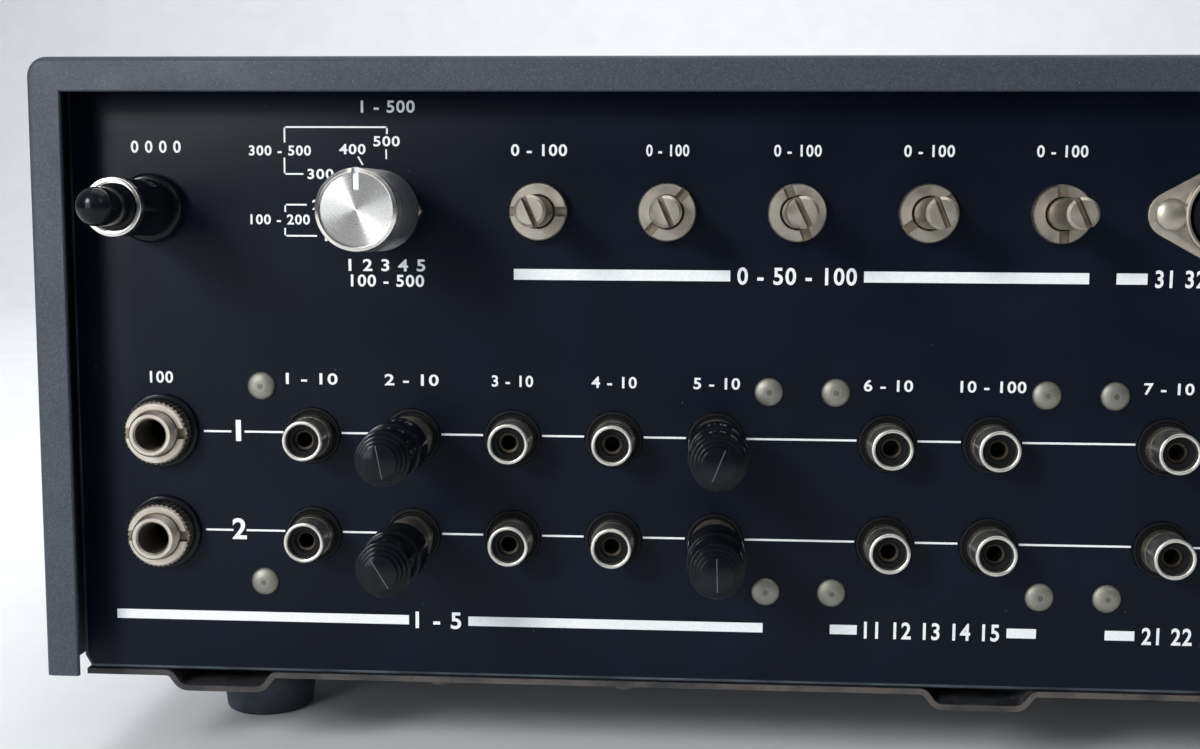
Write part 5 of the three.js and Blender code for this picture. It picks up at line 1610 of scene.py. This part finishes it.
for knobName, knobSettings in frontKnobs.items():
    makeFrontKnob(knobName, knobSettings)


facePrint = {
    "edge": 0.3 * mm,
    "lift": 0.03 * mm,
    "tickGap": 2.2 * mm,
    "tick": 1.8 * mm,
    "tickWidth": 0.35 * mm,
    "numberGap": 4.2 * mm,
    "numberHeight": 2.2 * mm,
    "leverNumberRise": 12.5 * mm,
    "leverNumberHeight": 2.4 * mm,
}


def dialWays(sweep, marks):
    # directions of a dial's marks, from straight up
    for i in range(marks):
        angle = math.radians(-sweep + 2 * sweep * i / (marks - 1))
        yield i, Vector((math.sin(angle), math.cos(angle)))


def makeFrontPanel():
    s = facePrint
    settle(dress("front_panel", brushedFace, s["edge"]), standsFor=["front_panel"])
    shape = newMesh()
    for name, knob in frontKnobs.items():
        low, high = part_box(f"{name}_knob")
        middle = (low + high) / 2
        reach = (high.x - low.x) / 2 + s["tickGap"]
        for i, way in dialWays(knob["sweep"], knob["marks"]):
            start = Vector((middle.x, middle.z)) + way * reach
            addStroke(shape, start, start + way * s["tick"], s["tickWidth"])
            if i % 2 == 0 or knob["marks"] < 7:
                spot = start + way * s["numberGap"]
                addLettering(shape, str(i), spot.x, spot.y, s["numberHeight"])
    row = centreOf("headphone_jack").z
    for name in ("power", "monitor", "filter"):
        x = centreOf(f"{name}_lever").x
        for text, rise in (("1", s["leverNumberRise"]), ("0", -s["leverNumberRise"])):
            addLettering(shape, text, x, row + rise, s["leverNumberHeight"])
    settlePrint("front_print", shape, markBlack, (0, faceY, 0), frontFacing, s["lift"])


makeFrontPanel()
makeQuarterJack("headphone", seatOn("headphone_jack", faceY), -1, phonesReach, "headphone_jack", [])
leverForm = {"edge": 0.7 * mm, "steps": 3}
for leverName in ("power", "monitor", "filter"):
    lever = dress(f"{leverName}_lever", satinAluminium, leverForm["edge"], leverForm["steps"])
    settle(lever, f"{leverName}_switch_arm", [f"{leverName}_lever"])
print("front controls made")


# Meters: cream dial with an arc of marks, black mask, needle and glass
meterMaker = {
    "window": (54 * mm, 34 * mm),
    "dialDepth": 8 * mm,
    "dialMargin": 2.1 * mm,
    "card": (0.3 * mm, 0.05 * mm),  # how far its back and its face stand out
    "pivotDrop": 11 * mm,
    "arc": 21 * mm,
    "arcSteps": 40,
    "sweep": 40,
    "marks": 11,
    "ticks": (2.4 * mm, 1.4 * mm),  # long and short
    "stroke": 0.3 * mm,
    "numberGap": 4.0 * mm,
    "numberHeight": 1.9 * mm,
    "lift": 0.35 * mm,
    "edge": 0.15 * mm,
    "glass": 1.2 * mm,
    "glassInset": 1.2 * mm,
    "glassGap": 0.3 * mm,
    "frame": 1.6 * mm,
    "frameGap": 0.2 * mm,
    "frameLift": 0.5 * mm,
}


def makeMeter(name):
    s = meterMaker
    middle, dialY = centreOf(name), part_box(name)[0].y + s["dialDepth"]
    pivot = Vector((middle.x, middle.z - s["pivotDrop"]))
    w, h = (size / 2 for size in s["window"])

    def plate(inset, near, far):
        inX, inZ = w - inset, h - inset
        return block((middle.x - inX, near, middle.z - inZ), (middle.x + inX, far, middle.z + inZ))

    refinish(name, dialCream)
    settle(dress(name, dialBlack, s["edge"]), standsFor=[name])
    back, face = s["card"]
    dial = plate(s["dialMargin"], dialY - back, dialY - face)
    settle(makeObject(f"{name}_dial", dial, [dialCream]))
    marks = newMesh()
    for i, way in dialWays(s["sweep"], s["marks"]):
        start = pivot + way * s["arc"]
        addStroke(marks, start, start + way * s["ticks"][i % 2], s["stroke"])
        if i % 2 == 0:
            spot = start + way * s["numberGap"]
            addLettering(marks, str(i), spot.x, spot.y, s["numberHeight"])
    points = [pivot + way * s["arc"] for i, way in dialWays(s["sweep"], s["arcSteps"] + 1)]
    for first, second in zip(points, points[1:]):
        addStroke(marks, first, second, s["stroke"])
    settlePrint(f"{name}_marks", marks, markBlack, (0, dialY, 0), frontFacing, s["lift"])
    refinish(f"{name}_needle", markBlack)
    front = faceY + s["glassInset"]
    pane = plate(s["glassGap"], front, front + s["glass"])
    settle(makeObject(f"{name}_glass", pane, [meterGlass]))
    mask, f, gap = newMesh(), s["frame"], s["frameGap"]
    addFrame(mask, middle, (2 * (w - f), 2 * (h - f)), f - gap, faceY - s["frameLift"], front, f - gap)
    settle(makeObject(f"{name}_bezel", mask, [dialBlack]))


for meterName in ("left_meter", "right_meter"):
    makeMeter(meterName)


faceScrews = {"inset": 8 * mm, "head": (2.8 * mm, 1.2 * mm, 0.7 * mm)}  # radius, height, slot


def makeFaceScrews():
    low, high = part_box("front_panel")
    inset = faceScrews["inset"]
    seats = [(x, faceY, z) for x in (low.x + inset, high.x - inset) for z in (low.z + inset, high.z - inset)]
    head = screwHead(*faceScrews["head"])
    head.transform(Matrix.Rotation(math.pi, 4, "Z"))
    settle(copyTo("face_screws", head, seats, satinAluminium, largestTurn=3.0, seed=4))


makeFaceScrews()
for node, finish in {
    "left_rail": plateSteel, "right_rail": plateSteel, "front_sub_panel": plateSteel,
    "control_board": circuitGreen, "main_board": circuitGreen, "power_transformer": coreIron,
}.items():
    refinish(node, finish)
print("meters and inside made")


# Stage: one pale sheet that curves up behind, plain soft lights, the photograph's camera
stageMaker = {
    "wide": 3.6,
    "near": 1.8,
    "far": -2.0,
    "bend": 0.6,
    "tall": 2.4,
    "color": (0.91, 0.92, 0.94),
    "clouded": 0.97,  # share of the colour in its darker clouds
    "clouds": 40 * mm,
    "bendSteps": 12,
    "dim": (0.3, 0.315, 0.34),  # the sheet falls into shade well in front of the sockets
    "dimStart": 0.22,
    "dimEnd": 0.8,
}
studio = {
    "horizon": (0.3, 0.32, 0.35),
    "zenith": (0.85, 0.9, 0.97),
    "skyReach": (0.1, 0.7),  # how high each of the two colours holds
    "turnReach": (-0.3, 0.6),
    "worldStrength": (0.55, 0.27),  # behind the unit, and behind the photographer
    "lamps": (  # name, place, aim, size, power, colour
        ("key", (0.86, 1.15, 0.66), (0.05, 0.1, 0.08), 0.32, 13.5, (1, 1, 1)),
        ("top", (0.0, -0.1, 1.6), (0, 0, 0), 1.6, 12.5, (1, 1, 1)),
        ("window", (0.82, 1.25, 0.25), (0.05, 0.1, 0.08), 0.5, 3.6, (0.9, 0.95, 1)),
        ("fill", (-0.6, 1.2, 0.95), (0.05, 0.1, 0.08), 0.5, 1.2, (1, 1, 1)),
        ("sweep", (0.0, -1.15, 1.8), (0, -2.0, 0.4), 1.2, 15.0, (1, 1, 1)),
    ),
}


def makeStage():
    s = stageMaker
    near, far, bend, wide = s["near"], s["far"], s["bend"], s["wide"]
    path = [(near, 0.0)] + arc((far + bend, bend), (bend, bend), 270, 180, s["bendSteps"]) + [(far, s["tall"])]
    shape = newMesh()
    rows = [[shape.verts.new((x, y, z)) for x in (-wide, wide)] for y, z in path]
    for first, second in zip(rows, rows[1:]):
        shape.faces.new([first[0], first[1], second[1], second[0]])
    finish = newFinish("pale_sheet", s["color"], 0.9)
    darker = [value * s["clouded"] for value in s["color"]]
    pale = tint(finish, grain(finish, s["clouds"], 3), darker, s["color"])
    apart = addNode(finish, "ShaderNodeSeparateXYZ")
    addLink(finish, placeOn(finish), apart.inputs[0])
    reach = (s["dimStart"], s["dimEnd"])
    away = remap(finish, apart.outputs["Y"], *reach, interpolation_type="SMOOTHSTEP")
    tintOver(finish, pale, away, s["dim"])
    makeObject("pale_floor", shape, [finish])


def addLamp(name, place, aim, size, power, color):
    lamp = bpy.data.lights.new(name, "AREA")
    lamp.size = size
    lamp.energy = power
    lamp.color = color
    holder = addObject(name, lamp)
    holder.location = place
    holder.rotation_euler = (Vector(aim) - Vector(place)).to_track_quat("-Z", "Y").to_euler()


def makeStudio():
    s = studio
    world = bpy.data.worlds.new("studio")
    world.use_nodes = True
    make, link = world.node_tree.nodes.new, world.node_tree.links.new
    background = world.node_tree.nodes["Background"]
    direction, apart = make("ShaderNodeTexCoord"), make("ShaderNodeSeparateXYZ")
    ramp = make("ShaderNodeValToRGB")
    fillRamp(ramp, s["skyReach"][0], s["horizon"], s["skyReach"][1], s["zenith"])
    strength = make("ShaderNodeMapRange")
    for label, value in zip(("From Min", "From Max", "To Min", "To Max"), s["turnReach"] + s["worldStrength"]):
        strength.inputs[label].default_value = value
    link(direction.outputs["Generated"], apart.inputs[0])
    link(apart.outputs["Z"], ramp.inputs["Fac"])
    link(apart.outputs["Y"], strength.inputs["Value"])
    link(ramp.outputs["Color"], background.inputs["Color"])
    link(strength.outputs["Result"], background.inputs["Strength"])
    bpy.context.scene.world = world
    for lamp in s["lamps"]:
        addLamp(*lamp)


photoCamera = {
    "place": (0.0601, rearY + 0.2907, 0.1172),
    "turn": (83.913, -0.308, -176.405),  # degrees about X, Y and Z
    "lens": 43.21,
    "sensor": 36,
    "clip": 0.01,
}


def makeCamera():
    s = photoCamera
    view = bpy.data.cameras.new("photo_camera")
    view.lens = s["lens"]
    view.sensor_width = s["sensor"]
    view.clip_start = s["clip"]
    holder = addObject("photo_camera", view)
    holder.location = s["place"]
    holder.rotation_euler = [math.radians(a) for a in s["turn"]]
    bpy.context.scene.camera = holder


makeStage()
makeStudio()
makeCamera()
bpy.context.scene.view_settings.view_transform = "Standard"
print("stage, lights and camera made")
